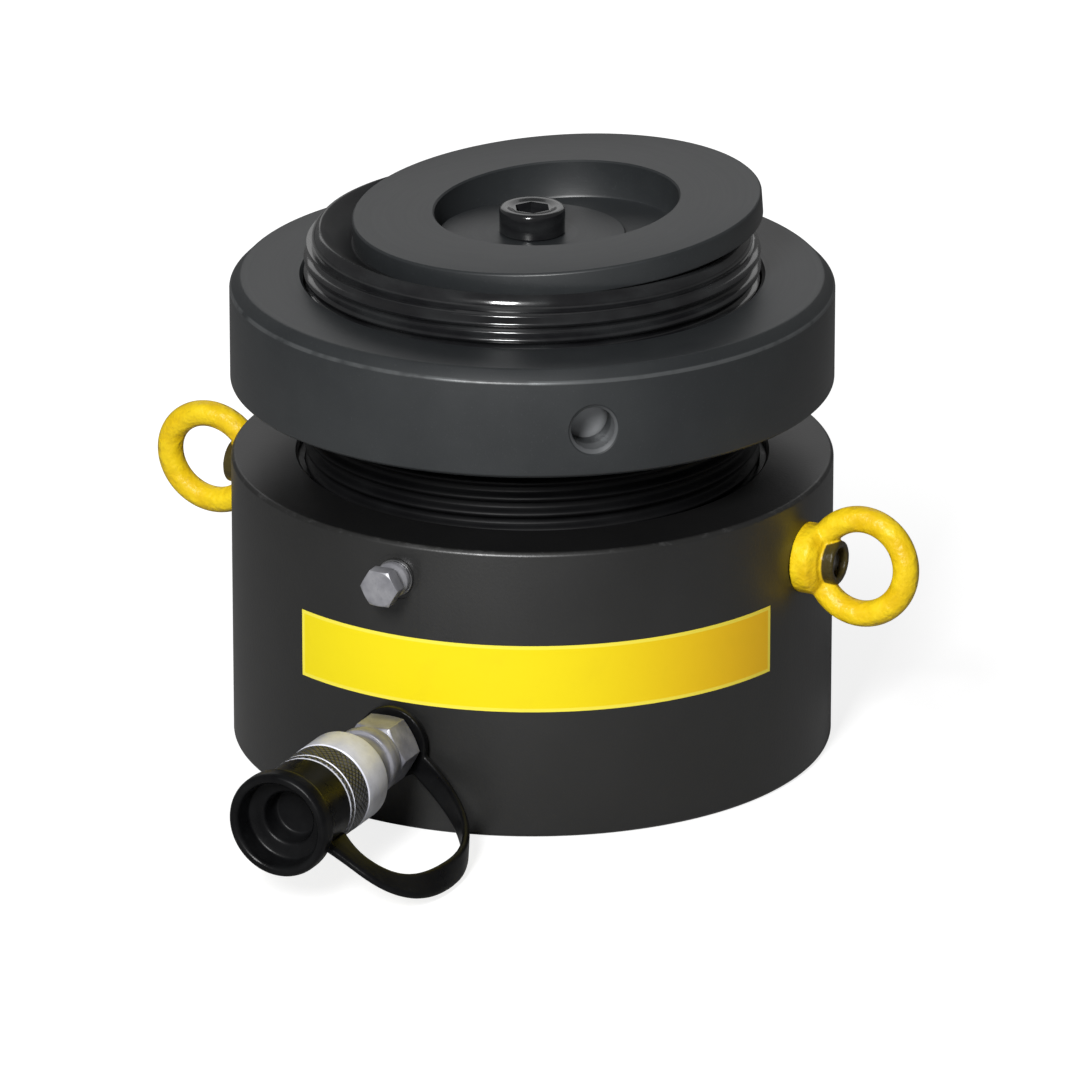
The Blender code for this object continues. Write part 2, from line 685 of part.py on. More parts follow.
def make_saddle():
    """A round plate with a recess, spherical below, tilted about the seat's centre."""
    profile = arc(0, SADDLE_SPHERE, SADDLE_HOLE, SADDLE_RADIUS, ARC_STEPS)
    profile += [
        (SADDLE_RADIUS, -SADDLE_TOP - SADDLE_CHAMFER),
        (SADDLE_RADIUS - SADDLE_CHAMFER, -SADDLE_TOP),
        (RECESS_RADIUS + SADDLE_CHAMFER, -SADDLE_TOP),
        (RECESS_RADIUS, -SADDLE_TOP - SADDLE_CHAMFER),
        (RECESS_RADIUS, -RECESS_FLOOR),
        (SADDLE_HOLE, -RECESS_FLOOR),
    ]
    return turned("saddle", profile, OUTER_SEGMENTS, BLACK_OXIDE, ring=True)


def make_saddle_fixings():
    """A spacer on the plunger, a wide washer on the spacer and a screw through both."""
    clear = SCREW_RADIUS + SEAT_GAP
    foot = SPOTFACE_HEIGHT + SEAT_GAP
    head = WASHER_BOTTOM - SEAT_GAP
    tube = [(clear, foot), (SPACER_RADIUS, foot), (SPACER_RADIUS, head), (clear, head)]
    spacer = turned("saddle_spacer", tube, SMALL_SEGMENTS, STEEL, ring=True)
    washer_top = WASHER_BOTTOM + WASHER_THICKNESS
    disc = [(clear, WASHER_BOTTOM), (WASHER_RADIUS, WASHER_BOTTOM)]
    disc += [(WASHER_RADIUS, washer_top), (clear, washer_top)]
    washer = turned("saddle_washer", disc, PLUNGER_SEGMENTS, BLACK_OXIDE, ring=True)
    top = SCREW_SEAT + SCREW_HEAD_HEIGHT
    tip = SPOTFACE_HEIGHT - SCREW_DEPTH + SEAT_GAP
    screw = turned(
        "saddle_screw",
        [
            (0, tip),
            (SCREW_RADIUS - SCREW_CHAMFER, tip),
            (SCREW_RADIUS, tip + SCREW_CHAMFER),
            (SCREW_RADIUS, SCREW_SEAT),
            (SCREW_HEAD_RADIUS, SCREW_SEAT),
            (SCREW_HEAD_RADIUS, top - SCREW_CHAMFER),
            (SCREW_HEAD_RADIUS - SCREW_CHAMFER, top),
            (0, top),
        ],
        MEDIUM_SEGMENTS,
        BLACK_OXIDE,
    )
    socket = hexagon("screw_socket", SCREW_SOCKET_FLATS, top - SCREW_SOCKET_DEPTH, top + OVERCUT)
    boolean(screw, socket, "DIFFERENCE")
    return spacer, washer, screw


def on_coupler(item):
    """Lays an object built along +Z from the body's side outwards along the coupler's axis."""
    aim(item, (0, -BODY_RADIUS, PORT_HEIGHT), radial(0))
    return item


def make_coupler_nipple():
    """The threaded nipple that carries the coupler, with a hexagon and an oil bore."""
    thread = PORT_RADIUS - SEAT_GAP
    nipple = hexagon("coupler_nipple", NIPPLE_HEX_FLATS, NIPPLE_NECK, HEX_END, BRIGHT_ZINC)
    blank = hex_chamfer_tool("nipple_blank", NIPPLE_HEX_FLATS, NIPPLE_NECK, HEX_END)
    start = SEAT_GAP - PORT_DEPTH
    shank = turned(
        "nipple_shank",
        [
            (0, start),
            (thread, start),
            (thread, NIPPLE_NECK + OVERCUT),
            (SPIGOT_RADIUS, NIPPLE_NECK + OVERCUT),
            (SPIGOT_RADIUS, SPIGOT_END),
            (0, SPIGOT_END),
        ],
        SMALL_SEGMENTS,
    )
    bore = turned(
        "nipple_bore",
        [
            (0, start - OVERCUT),
            (OIL_BORE_RADIUS, start - OVERCUT),
            (OIL_BORE_RADIUS, SPIGOT_END + OVERCUT),
            (0, SPIGOT_END + OVERCUT),
        ],
        SMALL_SEGMENTS,
    )
    for item in (nipple, blank, shank, bore):
        on_coupler(item)
    boolean(nipple, blank, "INTERSECT")
    boolean(nipple, shank, "UNION")
    boolean(nipple, bore, "DIFFERENCE")
    return nipple


def make_coupler_shell():
    """The coupler half's body: shoulder, valve chamber and the front lip that the poppet closes."""
    socket = SPIGOT_RADIUS + SEAT_GAP
    chamber_start = SPIGOT_END - SPIGOT_RADIUS / 4
    ring_start = SHELL_START + SHELL_RING_START
    shell = turned(
        "coupler_shell",
        [
            (socket, SHELL_START),
            (SHELL_RADIUS - SHELL_CHAMFER, SHELL_START),
            (SHELL_RADIUS, SHELL_START + SHELL_CHAMFER),
            (SHELL_RADIUS, ring_start),
            (SHELL_RADIUS + SHELL_RING_HEIGHT, ring_start),
            (SHELL_RADIUS + SHELL_RING_HEIGHT, ring_start + SHELL_RING_LENGTH),
            (SHELL_RADIUS, ring_start + SHELL_RING_LENGTH),
            (SHELL_RADIUS, SHOULDER_END),
            (FRONT_RADIUS, SHOULDER_END),
            (FRONT_RADIUS, SHELL_END - SHELL_CHAMFER),
            (FRONT_RADIUS - SHELL_CHAMFER, SHELL_END),
            (ORIFICE_RADIUS, SHELL_END),
            (ORIFICE_RADIUS, ORIFICE_START),
            (CHAMBER_RADIUS, ORIFICE_START),
            (CHAMBER_RADIUS, chamber_start),
            (socket, chamber_start),
        ],
        SMALL_SEGMENTS,
        BRIGHT_ZINC,
        ring=True,
    )
    return on_coupler(shell)


def make_coupler_sleeve():
    """The collar that screws onto a hose's half, with a grip band and a front lip."""
    inner = FRONT_RADIUS + RUN_GAP
    grip = SLEEVE_RADIUS - SLEEVE_GRIP_INSET
    lip = SLEEVE_END - SLEEVE_LIP_LENGTH
    sleeve = turned(
        "coupler_sleeve",
        [
            (inner, SLEEVE_START),
            (SLEEVE_RADIUS - SHELL_CHAMFER, SLEEVE_START),
            (SLEEVE_RADIUS, SLEEVE_START + SHELL_CHAMFER),
            (SLEEVE_RADIUS, lip - SLEEVE_GRIP_LENGTH),
            (grip, lip - SLEEVE_GRIP_LENGTH),
            (grip, lip),
            (SLEEVE_RADIUS, lip),
            (SLEEVE_RADIUS, SLEEVE_END),
            (inner, SLEEVE_END),
        ],
        MEDIUM_SEGMENTS,
        BRIGHT_ZINC,
        ring=True,
    )
    return on_coupler(sleeve)


def make_poppet_and_spring():
    """The valve that a hose's half pushes in, and its spring, drawn at its compressed length."""
    nose = ORIFICE_RADIUS - RUN_GAP
    head = CHAMBER_RADIUS - 2 * RUN_GAP
    stem_end = POPPET_BACK - POPPET_STEM_LENGTH
    poppet = turned(
        "coupler_poppet",
        [
            (0, stem_end),
            (POPPET_STEM_RADIUS, stem_end),
            (POPPET_STEM_RADIUS, POPPET_BACK),
            (head, POPPET_BACK),
            (head, POPPET_FRONT - RUN_GAP),
            (nose, POPPET_FRONT),
            (nose, SHELL_END - RUN_GAP),
            (0, SHELL_END - RUN_GAP),
        ],
        SMALL_SEGMENTS,
        STEEL,
    )
    wire = bmesh.new()
    made = bmesh.ops.create_circle(wire, cap_ends=True, radius=SPRING_WIRE, segments=4)
    turn_matrix = Matrix.Rotation(math.pi / 2, 3, "X")
    bmesh.ops.rotate(wire, verts=made["verts"], cent=(0, 0, 0), matrix=turn_matrix)
    bmesh.ops.translate(wire, verts=made["verts"], vec=(SPRING_RADIUS, 0, SPRING_START))
    steps = SMALL_SEGMENTS // 2 * SPRING_TURNS
    rise = (SPRING_END - SPRING_START) / steps
    bmesh.ops.spin(
        wire,
        geom=wire.faces[:],
        cent=(0, 0, 0),
        axis=(0, 0, 1),
        dvec=(0, 0, rise),
        angle=math.tau * SPRING_TURNS,
        steps=steps,
        use_merge=False,
    )
    spring = make_object("coupler_spring", wire, STEEL)
    return on_coupler(poppet), on_coupler(spring)


def make_dust_cap():
    """A moulded rubber cap: a socket for the coupler's nose, a web, and a flanged, stepped cup."""
    socket = FRONT_RADIUS + RUN_GAP
    funnel_floor = CAP_END - FUNNEL_DEPTH
    cap = turned(
        "dust_cap",
        [
            (0, CAP_WEB_START),
            (socket, CAP_WEB_START),
            (socket, CAP_START),
            (CAP_RADIUS, CAP_START),
            (CAP_RADIUS, FLANGE_START - FLANGE_ROUND),
            (CAP_RADIUS + FLANGE_ROUND, FLANGE_START),
            (FLANGE_RADIUS - FLANGE_ROUND / 2, FLANGE_START),
            (FLANGE_RADIUS, FLANGE_START + FLANGE_ROUND / 2),
            (FLANGE_RADIUS, CAP_END - FLANGE_ROUND),
            (FLANGE_RADIUS - FLANGE_ROUND, CAP_END),
            (FUNNEL_RADIUS + CUP_CHAMFER, CAP_END),
            (FUNNEL_RADIUS, CAP_END - CUP_CHAMFER),
            (FUNNEL_RADIUS, funnel_floor),
            (CUP_RADIUS, funnel_floor - FUNNEL_SLOPE),
            (CUP_RADIUS, CUP_FLOOR),
            (0, CUP_FLOOR),
        ],
        MEDIUM_SEGMENTS,
        BLACK_RUBBER,
    )
    return on_coupler(cap)


def strap_route():
    """(reach, distance from the coupler's axis) along the strap's middle, from its ring to the cap."""
    ring = STRAP_RING_OFFSET + STRAP_THICKNESS / 2
    tip = FLANGE_START - FLANGE_ROUND - SEAT_GAP - STRAP_ROOT_WIDTH / 2
    start = STRAP_RING_RADIUS - STRAP_THICKNESS
    end = CAP_RADIUS + SEAT_GAP
    middle = (ring + tip) / 2 + STRAP_THICKNESS
    handles = [
        Vector((ring, start)),
        Vector((ring + STRAP_THICKNESS / 2, start + STRAP_TURN)),
        Vector((ring + STRAP_TURN * 0.75, STRAP_BULGE)),
        Vector((middle, STRAP_BULGE)),
        Vector((tip - STRAP_TURN / 2, STRAP_BULGE)),
        Vector((tip + STRAP_THICKNESS, end + STRAP_TURN * 1.75)),
        Vector((tip, end)),
    ]
    first = interpolate_bezier(*handles[:4], STRAP_STEPS)
    second = interpolate_bezier(*handles[3:], STRAP_STEPS)
    return first + second[1:]


def make_cap_strap():
    """A flat rubber strap: a ring round the nipple's neck and a band that twists as it loops to the cap.

    It leaves the ring with its width across the loop, and reaches the cap with its width along the
    coupler's axis."""
    route = [Vector((distance, 0, reach)) for reach, distance in strap_route()]
    lengths = [0]
    for start, end in zip(route, route[1:]):
        lengths.append(lengths[-1] + (end - start).length)
    across_loop = Vector((0, 1, 0))
    band = bmesh.new()
    sections = []
    for index, point in enumerate(route):
        ahead = Vector((1 if index == 0 else -1, 0, 0))
        if 0 < index < len(route) - 1:
            ahead = (route[index + 1] - route[index - 1]).normalized()
        in_loop = ahead.cross(across_loop)
        share = lengths[index] / lengths[-1]
        twist = math.pi / 2 * share * share * (3 - 2 * share)
        wide = across_loop * math.cos(twist) + in_loop * math.sin(twist)
        thin = ahead.cross(wide) * STRAP_THICKNESS / 2
        root = max(0, 1 - (lengths[-1] - lengths[index]) / STRAP_ROOT_LENGTH)
        half = wide * (STRAP_WIDTH + (STRAP_ROOT_WIDTH - STRAP_WIDTH) * root * root) / 2
        corners = (half + thin, thin - half, -half - thin, half - thin)
        sections.append([band.verts.new(point + corner) for corner in corners])
    for here, there in zip(sections, sections[1:]):
        for a, b in ((0, 1), (1, 2), (2, 3), (3, 0)):
            band.faces.new((here[a], here[b], there[b], there[a]))
    band.faces.new(sections[0][::-1])
    band.faces.new(sections[-1])
    strap = make_object("cap_strap", band, BLACK_RUBBER)
    ring_top = STRAP_RING_OFFSET + STRAP_THICKNESS
    ring = turned(
        "strap_ring",
        [
            (PORT_RADIUS, STRAP_RING_OFFSET),
            (STRAP_RING_RADIUS, STRAP_RING_OFFSET),
            (STRAP_RING_RADIUS, ring_top),
            (PORT_RADIUS, ring_top),
        ],
        MEDIUM_SEGMENTS,
        ring=True,
    )
    boolean(strap, ring, "UNION")
    along = Matrix.Rotation(math.pi / 2, 4, "X")
    roll = Matrix.Rotation(STRAP_DROP, 4, "Y")
    place = Matrix.Translation((0, -BODY_RADIUS, PORT_HEIGHT)) @ roll @ along
    strap.matrix_world = place
    ring.matrix_world = place
    return strap


def main():
    clear_scene()
    make_cylinder_body()
    make_rod_wiper()
    for side in ("right", "left"):
        make_eye(side)
        make_eye_stud(side)
    make_overflow_plug()
    make_coupler_nipple()
    make_coupler_shell()
    make_cap_strap()

    rod = pivot("plunger_axis", (0, 0, PISTON_BOTTOM))
    hang_on(rod, make_plunger(), *make_piston_rings(), *make_saddle_fixings())
    nut_axis = pivot("lock_nut_axis", (0, 0, NUT_BOTTOM))
    hang_on(nut_axis, make_lock_nut())
    seat = pivot("saddle_pivot", (0, 0, SEAT_CENTRE))
    tilt_axis = radial(TILT_AZIMUTH)
    saddle = make_saddle()
    saddle.parent = seat
    seat.rotation_mode = "QUATERNION"
    seat.rotation_quaternion = Matrix.Rotation(TILT, 3, tilt_axis).to_quaternion()
    hang_on(rod, nut_axis, seat)

    coupler = pivot("coupler_axis", (0, -BODY_RADIUS, PORT_HEIGHT))
    hang_on(coupler, make_coupler_sleeve(), *make_poppet_and_spring(), make_dust_cap())


main()
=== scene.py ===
# %% [markdown]
# # A low height lock-nut cylinder
#
# A short, heavy hydraulic cylinder for lifting bridges and presses. Oil pushes the threaded plunger up,
# a lock nut is run down the thread until it stands on the body, and a tilting saddle keeps the load
# square on the plunger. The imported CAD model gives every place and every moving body. This script gives
# each piece its fine shape and its finish: satin black paint, black oxide, bright zinc, rubber and
# yellow forgings.

# %% Load the frame
import math

import bmesh
import bpy
from mathutils import Matrix, Vector
from mathutils.geometry import interpolate_bezier


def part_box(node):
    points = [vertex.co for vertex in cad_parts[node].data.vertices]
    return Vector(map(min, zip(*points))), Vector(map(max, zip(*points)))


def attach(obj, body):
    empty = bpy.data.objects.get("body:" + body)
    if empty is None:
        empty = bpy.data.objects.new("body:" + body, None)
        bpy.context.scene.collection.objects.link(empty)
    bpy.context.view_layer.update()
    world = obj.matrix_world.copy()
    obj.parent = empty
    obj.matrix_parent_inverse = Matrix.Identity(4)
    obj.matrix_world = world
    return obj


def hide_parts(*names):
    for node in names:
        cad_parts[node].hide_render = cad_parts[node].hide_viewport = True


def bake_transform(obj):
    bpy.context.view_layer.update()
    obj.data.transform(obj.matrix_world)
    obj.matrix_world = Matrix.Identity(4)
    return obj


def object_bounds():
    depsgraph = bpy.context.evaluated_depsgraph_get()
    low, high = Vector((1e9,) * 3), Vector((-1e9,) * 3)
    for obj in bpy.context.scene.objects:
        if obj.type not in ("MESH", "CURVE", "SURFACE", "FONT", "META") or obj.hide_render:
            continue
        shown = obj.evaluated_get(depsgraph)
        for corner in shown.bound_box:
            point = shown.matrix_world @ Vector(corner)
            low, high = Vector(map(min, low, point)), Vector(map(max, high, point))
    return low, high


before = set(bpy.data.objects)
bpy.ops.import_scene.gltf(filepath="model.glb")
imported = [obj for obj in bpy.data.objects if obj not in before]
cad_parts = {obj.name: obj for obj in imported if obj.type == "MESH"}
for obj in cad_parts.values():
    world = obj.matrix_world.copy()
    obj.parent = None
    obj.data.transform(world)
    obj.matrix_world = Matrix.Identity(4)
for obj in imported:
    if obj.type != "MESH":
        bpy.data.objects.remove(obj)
cad_low, cad_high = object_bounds()
scene = bpy.context.scene
print("CAD box in mm:", [round((b - a) * 1000, 1) for a, b in zip(cad_low, cad_high)])

# %% [markdown]
# ## The camera
#
# The photograph was taken from a little above, from the right of the coupler, through a long lens. A
# long lens from far away keeps the rims of the body and of the nut as nearly equal ellipses. The angles
# and the distance below put the object's own edges on the photograph's edges.

# %% Camera
CAMERA_AZIMUTH = math.radians(26.1)
CAMERA_ELEVATION = math.radians(20.4)
CAMERA_DISTANCE = 3.847
CAMERA_LENS = 347.8
AIM_RIGHT = 0.0028
AIM_UP = 0.0686


def outward(azimuth, elevation=0):
    """The way out from the axis, at an angle from the coupler towards the right eye, and an angle up."""
    level = math.cos(elevation)
    return Vector((math.sin(azimuth) * level, -math.cos(azimuth) * level, math.sin(elevation)))


def aimed(item, target, way, distance):
    """Stands a camera or a lamp off its target and turns it to look back."""
    item.location = target + way * distance
    item.rotation_mode = "QUATERNION"
    item.rotation_quaternion = (-way).to_track_quat("-Z", "Y")
    scene.collection.objects.link(item)


to_right = Vector((math.cos(CAMERA_AZIMUTH), math.sin(CAMERA_AZIMUTH), 0))
to_camera = outward(CAMERA_AZIMUTH, CAMERA_ELEVATION)
aim_point = to_right * AIM_RIGHT + to_camera.cross(to_right) * AIM_UP
camera_data = bpy.data.cameras.new("camera")
camera_data.lens = CAMERA_LENS
camera_data.clip_end = 50
camera = bpy.data.objects.new("camera", camera_data)
aimed(camera, aim_point, to_camera, CAMERA_DISTANCE)
scene.camera = camera
scene.view_settings.view_transform = "Standard"
print("camera stands", [round(c, 3) for c in camera.location], "m from the middle of the base")

# %% [markdown]
# ## A small language for materials
#
# A finish is a network of nodes, and wiring one by hand hides the idea behind it. This class wraps a
# socket, so that sums on it add the Math nodes, and one method adds any other node. A finish then
# reads as what it is: a colour, and what changes it over the surface.


# %% The wrapped socket
class Signal:
    """An output of a node, which can be reckoned with as a number."""

    def __init__(self, tree, socket):
        self.tree = tree
        self.socket = socket

    def node(self, kind, settings=None, inputs=None, output=0):
        """Adds a node with its settings and the values or links of its sockets, and gives its output."""
        made = self.tree.nodes.new("ShaderNode" + kind)
        for name, value in (settings or {}).items():
            setattr(made, name, value)
        for name, value in (inputs or {}).items():
            if isinstance(value, Signal):
                self.tree.links.new(value.socket, made.inputs[name])
            else:
                made.inputs[name].default_value = value
        return Signal(self.tree, made.outputs[output])

    def math(self, operation, *others):
        return self.node("Math", {"operation": operation}, dict(enumerate((self, *others))))

    def __add__(self, other):
        return self.math("ADD", other)

    def __sub__(self, other):
        return self.math("SUBTRACT", other)

    def __rsub__(self, other):
        return self.math("MULTIPLY_ADD", -1, other)

    def __mul__(self, other):
        return self.math("MULTIPLY", other)

    __radd__ = __add__
    __rmul__ = __mul__

    def step(self, low, high):
        """0 below low, 1 above high and smooth between them."""
        settings = {"interpolation_type": "SMOOTHSTEP"}
        return self.node("MapRange", settings, {"Value": self, "From Min": low, "From Max": high})

    def between(self, low, full, falling, high):
        """1 from full to falling, and 0 below low and above high."""
        return self.step(low, full) * (1 - self.step(falling, high))

    def hypot(self, other):
        """The straight distance for a step this long and another square to it."""
        return (self * self + other * other).math("SQRT")

    def part(self, axis):
        """One of a vector's three numbers."""
        return self.node("SeparateXYZ", inputs={0: self}, output="XYZ".index(axis))

    def noise(self, scale, detail=3, roughness=0.5):
        inputs = {"Vector": self, "Scale": scale, "Detail": detail, "Roughness": roughness}
        return self.node("TexNoise", inputs=inputs)

    def stretched(self, scale, turn=(0, 0, 0)):
        return self.node("Mapping", inputs={"Vector": self, "Scale": scale, "Rotation": turn})

    def blend(self, first, second):
        """A colour between two, with this as the share of the second."""
        return self.node("Mix", {"data_type": "RGBA"}, {0: self, 6: first, 7: second}, output=2)


def colour(red, green, blue):
    return (red, green, blue, 1)


finishes = {}


def new_finish(name, **constants):
    """A material, and the place on the piece that its pattern is read from."""
    material = finishes[name] = bpy.data.materials.new(name)
    material.use_nodes = True
    tree = material.node_tree
    shader = tree.nodes["Principled BSDF"]
    for socket, value in constants.items():
        shader.inputs[socket.replace("_", " ")].default_value = value
    place = Signal(tree, tree.nodes.new("ShaderNodeTexCoord").outputs["Object"])
    return material, place


def connect(material, place, **signals):
    """Links signals to the shader's sockets. height becomes a bump of the given depth in metres."""
    nodes = material.node_tree.nodes
    depth = signals.pop("depth", 0.0001)
    height = signals.pop("height", None)
    if height is not None:
        bump = {"Height": height, "Distance": depth, "Strength": 1.0}
        signals["Normal"] = place.node("Bump", inputs=bump)
    for name, value in signals.items():
        place.tree.links.new(value.socket, nodes["Principled BSDF"].inputs[name.replace("_", " ")])
    print(material.name, "has", len(nodes), "nodes")


print("signals ready")

# %% [markdown]
# ## Satin black paint on the body
#
# The body is sprayed satin black over a turned forging. Such paint is never one flat grey: it holds a
# faint orange peel, the film is thinner on the rims where it rubs, and dust lies in large soft patches.
# Three noises of different sizes give those, and the wear is kept to the outer rims by the height and
# the distance from the axis. Under the nut the top is painted darker, as painted shade from the nut.

# %% Body paint
TOP_RIM_HEIGHT, TOP_RIM_REACH = (0.1074, 0.1080), (0.1080, 0.1089)
BOTTOM_RIM_HEIGHT = (0.0002, 0.0016)
NUT_SHADE_HEIGHT, NUT_SHADE_REACH = (0.1084, 0.1089), (0.1080, 0.1088)

material, place = new_finish("body_paint", Specular_IOR_Level=0.75)
patches = place.noise(9, 4, 0.6)
peel = place.noise(900, 2, 0.4)
specks = place.noise(2600, 2, 0.5).step(0.66, 0.74)
height = place.part("Z")
reach = place.part("X").hypot(place.part("Y"))
top_rim = height.step(*TOP_RIM_HEIGHT) * reach.step(*TOP_RIM_REACH)
rims = top_rim + (1 - height.step(*BOTTOM_RIM_HEIGHT))
scuffs = rims * place.noise(160, 4, 0.7).step(0.52, 0.68)
# Painted shade: this mask and the darker colour below stand for the nut's shadow on the body's top.
nut_shade = height.step(*NUT_SHADE_HEIGHT) * (1 - reach.step(*NUT_SHADE_REACH))
base = patches.step(0.3, 0.75).blend(colour(0.009, 0.009, 0.0087), colour(0.015, 0.015, 0.0146))
base = (nut_shade * 0.7).blend(base, colour(0.003, 0.003, 0.0035))
base = (specks * 0.35).blend(base, colour(0.050, 0.050, 0.048))
base = (scuffs * 0.25).blend(base, colour(0.12, 0.12, 0.12))
connect(
    material,
    place,
    Base_Color=base,
    Roughness=patches * 0.12 + 0.35 - scuffs * 0.1,
    height=peel,
    depth=0.00004,
)

# %% [markdown]
# ## Black oxide on the nut and the saddle
#
# These two are turned steel, blackened in a hot bath. The bath keeps the lathe's marks, so light runs
# round the faces in fine rings, and it turns the steel a slightly cold black. The rings are a noise
# that is read from the distance to the axis alone. The tommy bar rubs the bar holes bare at their
# mouths and bottoms, and they are lightened further as a painted highlight. A thin painted highlight
# runs along the nut's upper edge.

# %% Turned black oxide
HOLE_HEIGHTS = (0.1440, 0.1444, 0.1656, 0.1660)
HOLE_WALLS = (0.1010, 0.1030, 0.1094, 0.1097)
HOLE_BOTTOMS = (0.0905, 0.0915, 0.0948, 0.0958)
UPPER_EDGE, EDGE_REACH = (0.1721, 0.1725, 0.1733, 0.1737), (0.1086, 0.1090)

material, place = new_finish("nut_oxide", Specular_IOR_Level=0.62)
radius = place.part("X").hypot(place.part("Y"))
rings = place.node("CombineXYZ", inputs={0: radius * 900, 1: place.part("Z") * 700})
marks = rings.noise(1, 2, 0.5)
stains = place.noise(14, 5, 0.62)
grain = place.noise(1500, 2, 0.5)
height = place.part("Z")
walls, bottoms = radius.between(*HOLE_WALLS), radius.between(*HOLE_BOTTOMS)
# Bare metal at the holes' mouths and bottoms, lightened partly as a painted highlight.
bare_and_highlit = height.between(*HOLE_HEIGHTS) * (walls * 0.45 + bottoms)
line = height.between(*UPPER_EDGE) * radius.step(*EDGE_REACH)
# Painted highlight: a light, patchy line along the nut's upper edge, where the lamp catches it.
edge_highlight = line * place.noise(60, 3, 0.6).step(0.30, 0.55)
base = stains.step(0.32, 0.7).blend(colour(0.018, 0.0202, 0.0220), colour(0.026, 0.0288, 0.0305))
base = (grain.step(0.62, 0.75) * 0.35).blend(base, colour(0.055, 0.060, 0.064))
base = (bare_and_highlit * 0.8).blend(base, colour(0.30, 0.31, 0.32))
base = (edge_highlight * 0.5).blend(base, colour(0.22, 0.23, 0.235))
connect(
    material,
    place,
    Base_Color=base,
    Metallic=bare_and_highlit * 0.7 + edge_highlight * 0.5,
    Roughness=stains * 0.12 + marks * 0.06 + 0.32 - edge_highlight * 0.08,
    height=marks * 0.5 + grain,
    depth=0.000018,
)

# %% [markdown]
# ## Oiled thread
#
# The plunger's thread is blackened too, but it is wet with oil, so it is darker and mirrors the lamps
# in sharp lines. Oil gathers unevenly: a slow noise moves the roughness between wet and nearly dry.
# Below the nut the thread is duller, and its colour is painted blacker as the nut's shade. The saddle
# wipes the seat dull.

# %% Oiled thread
NUT_SHADE_ENDS = (0.1355, 0.1385)
SEAT_REACH = (0.0300, 0.0400, 0.0764, 0.0772)

material, place = new_finish("thread_oxide", Specular_IOR_Level=0.22, Coat_Roughness=0.10)
film = place.stretched((1, 1, 3)).noise(38, 4, 0.6)
grain = place.noise(1100, 2, 0.5)
under_nut = 1 - place.part("Z").step(*NUT_SHADE_ENDS)
seat = place.part("X").hypot(place.part("Y")).between(*SEAT_REACH)
wet = (1 - under_nut) * (1 - seat)
base = film.step(0.35, 0.7).blend(colour(0.008, 0.008, 0.009), colour(0.018, 0.019, 0.020))
# Painted shade: below the nut the thread's colour is darkened for the nut's shadow.
base = (under_nut * 0.85).blend(base, colour(0.002, 0.002, 0.0025))
connect(
    material,
    place,
    Base_Color=base,
    Coat_Weight=wet * 0.9,
    Roughness=film.step(0.3, 0.75) * 0.14 + 0.46 - wet * 0.3,
    height=grain,
    depth=0.000015,
)

# %% [markdown]
# ## Bright zinc
#
# The coupler and the plug are zinc plated. Zinc is a bright metal with a soft, slightly cloudy shine,
# and on turned parts the tool's marks run round the axis. The coupler lies along Y, so its marks are a
# noise that changes only with Y and hardly across. The collar has a fresh, whitish plating, the plug an
# older one, and the shell and its hexagon are dull under a film of oil. One recipe makes all three.


# %% Bright zinc
def zinc_finish(name, metallic, coat, dark, light, tarnished, roughness):
    """Plating that is clouded between two colours, with marks round Y and flecks of tarnish."""
    material, place = new_finish(name, Metallic=metallic, Coat_Weight=coat, Coat_Roughness=0.12)
    turning = place.stretched((20, 2600, 20)).noise(1, 3, 0.6)
    cloud = place.noise(120, 4, 0.6)
    tarnish = place.noise(420, 3, 0.6).step(0.58, 0.78)
    base = cloud.step(0.3, 0.7).blend(colour(*dark), colour(*light))
    base = (tarnish * 0.35).blend(base, colour(*tarnished))
    connect(
        material,
        place,
        Base_Color=base,
        Roughness=cloud * 0.16 + turning * 0.10 + roughness,
        height=turning,
        depth=0.00002,
    )


zinc_finish("bright_zinc", 0.12, 0.2, (0.70, 0.71, 0.79), (0.84, 0.85, 0.93), (0.46, 0.47, 0.51), 0.28)
zinc_finish("plug_zinc", 0.25, 0.1, (0.21, 0.21, 0.23), (0.33, 0.33, 0.35), (0.12, 0.12, 0.13), 0.22)
zinc_finish("dull_zinc", 0.10, 0.1, (0.15, 0.15, 0.175), (0.27, 0.27, 0.30), (0.07, 0.07, 0.08), 0.24)

# %% [markdown]
# ## Knurled zinc
#
# A band of the coupler's collar is knurled, so that an oily hand can turn it. A knurl is two sets of
# fine grooves that cross. Seen round the axis, the angle and the length are the two ways along the
# surface, and a groove runs where their sum or their difference passes a whole number.

# %% Knurled zinc
COUPLER_HEIGHT = 0.034
KNURLS_ROUND = 44
KNURL_LENGTH = 0.0024

material, place = new_finish("knurled_zinc", Metallic=0.6)
upward = place.part("Z") - COUPLER_HEIGHT
around = upward.math("ARCTAN2", place.part("X")) * (KNURLS_ROUND / math.tau)
length = place.part("Y") * (1 / KNURL_LENGTH)
first = (around + length).math("PINGPONG", 0.5)
second = (around - length).math("PINGPONG", 0.5)
diamonds = first.step(0.0, 0.34) * second.step(0.0, 0.34)
cloud = place.noise(160, 4, 0.6)
# Painted shade: the grooves between the diamonds are coloured dark, and the diamonds light.
base = diamonds.blend(colour(0.03, 0.03, 0.03), colour(0.17, 0.17, 0.18))
base = (cloud.step(0.45, 0.75) * 0.4).blend(base, colour(0.24, 0.24, 0.25))
connect(
    material,
    place,
    Base_Color=base,
    Roughness=cloud * 0.2 + 0.26,
    height=diamonds,
    depth=0.00035,
)

# %% [markdown]
# ## Plain steel, bronze and the ring plastics
#
# The studs, the washers and the parts inside are plain metals and moulded rings. They show little, so
# one recipe serves them all: a base colour clouded by noise, with fine marks in its bump.


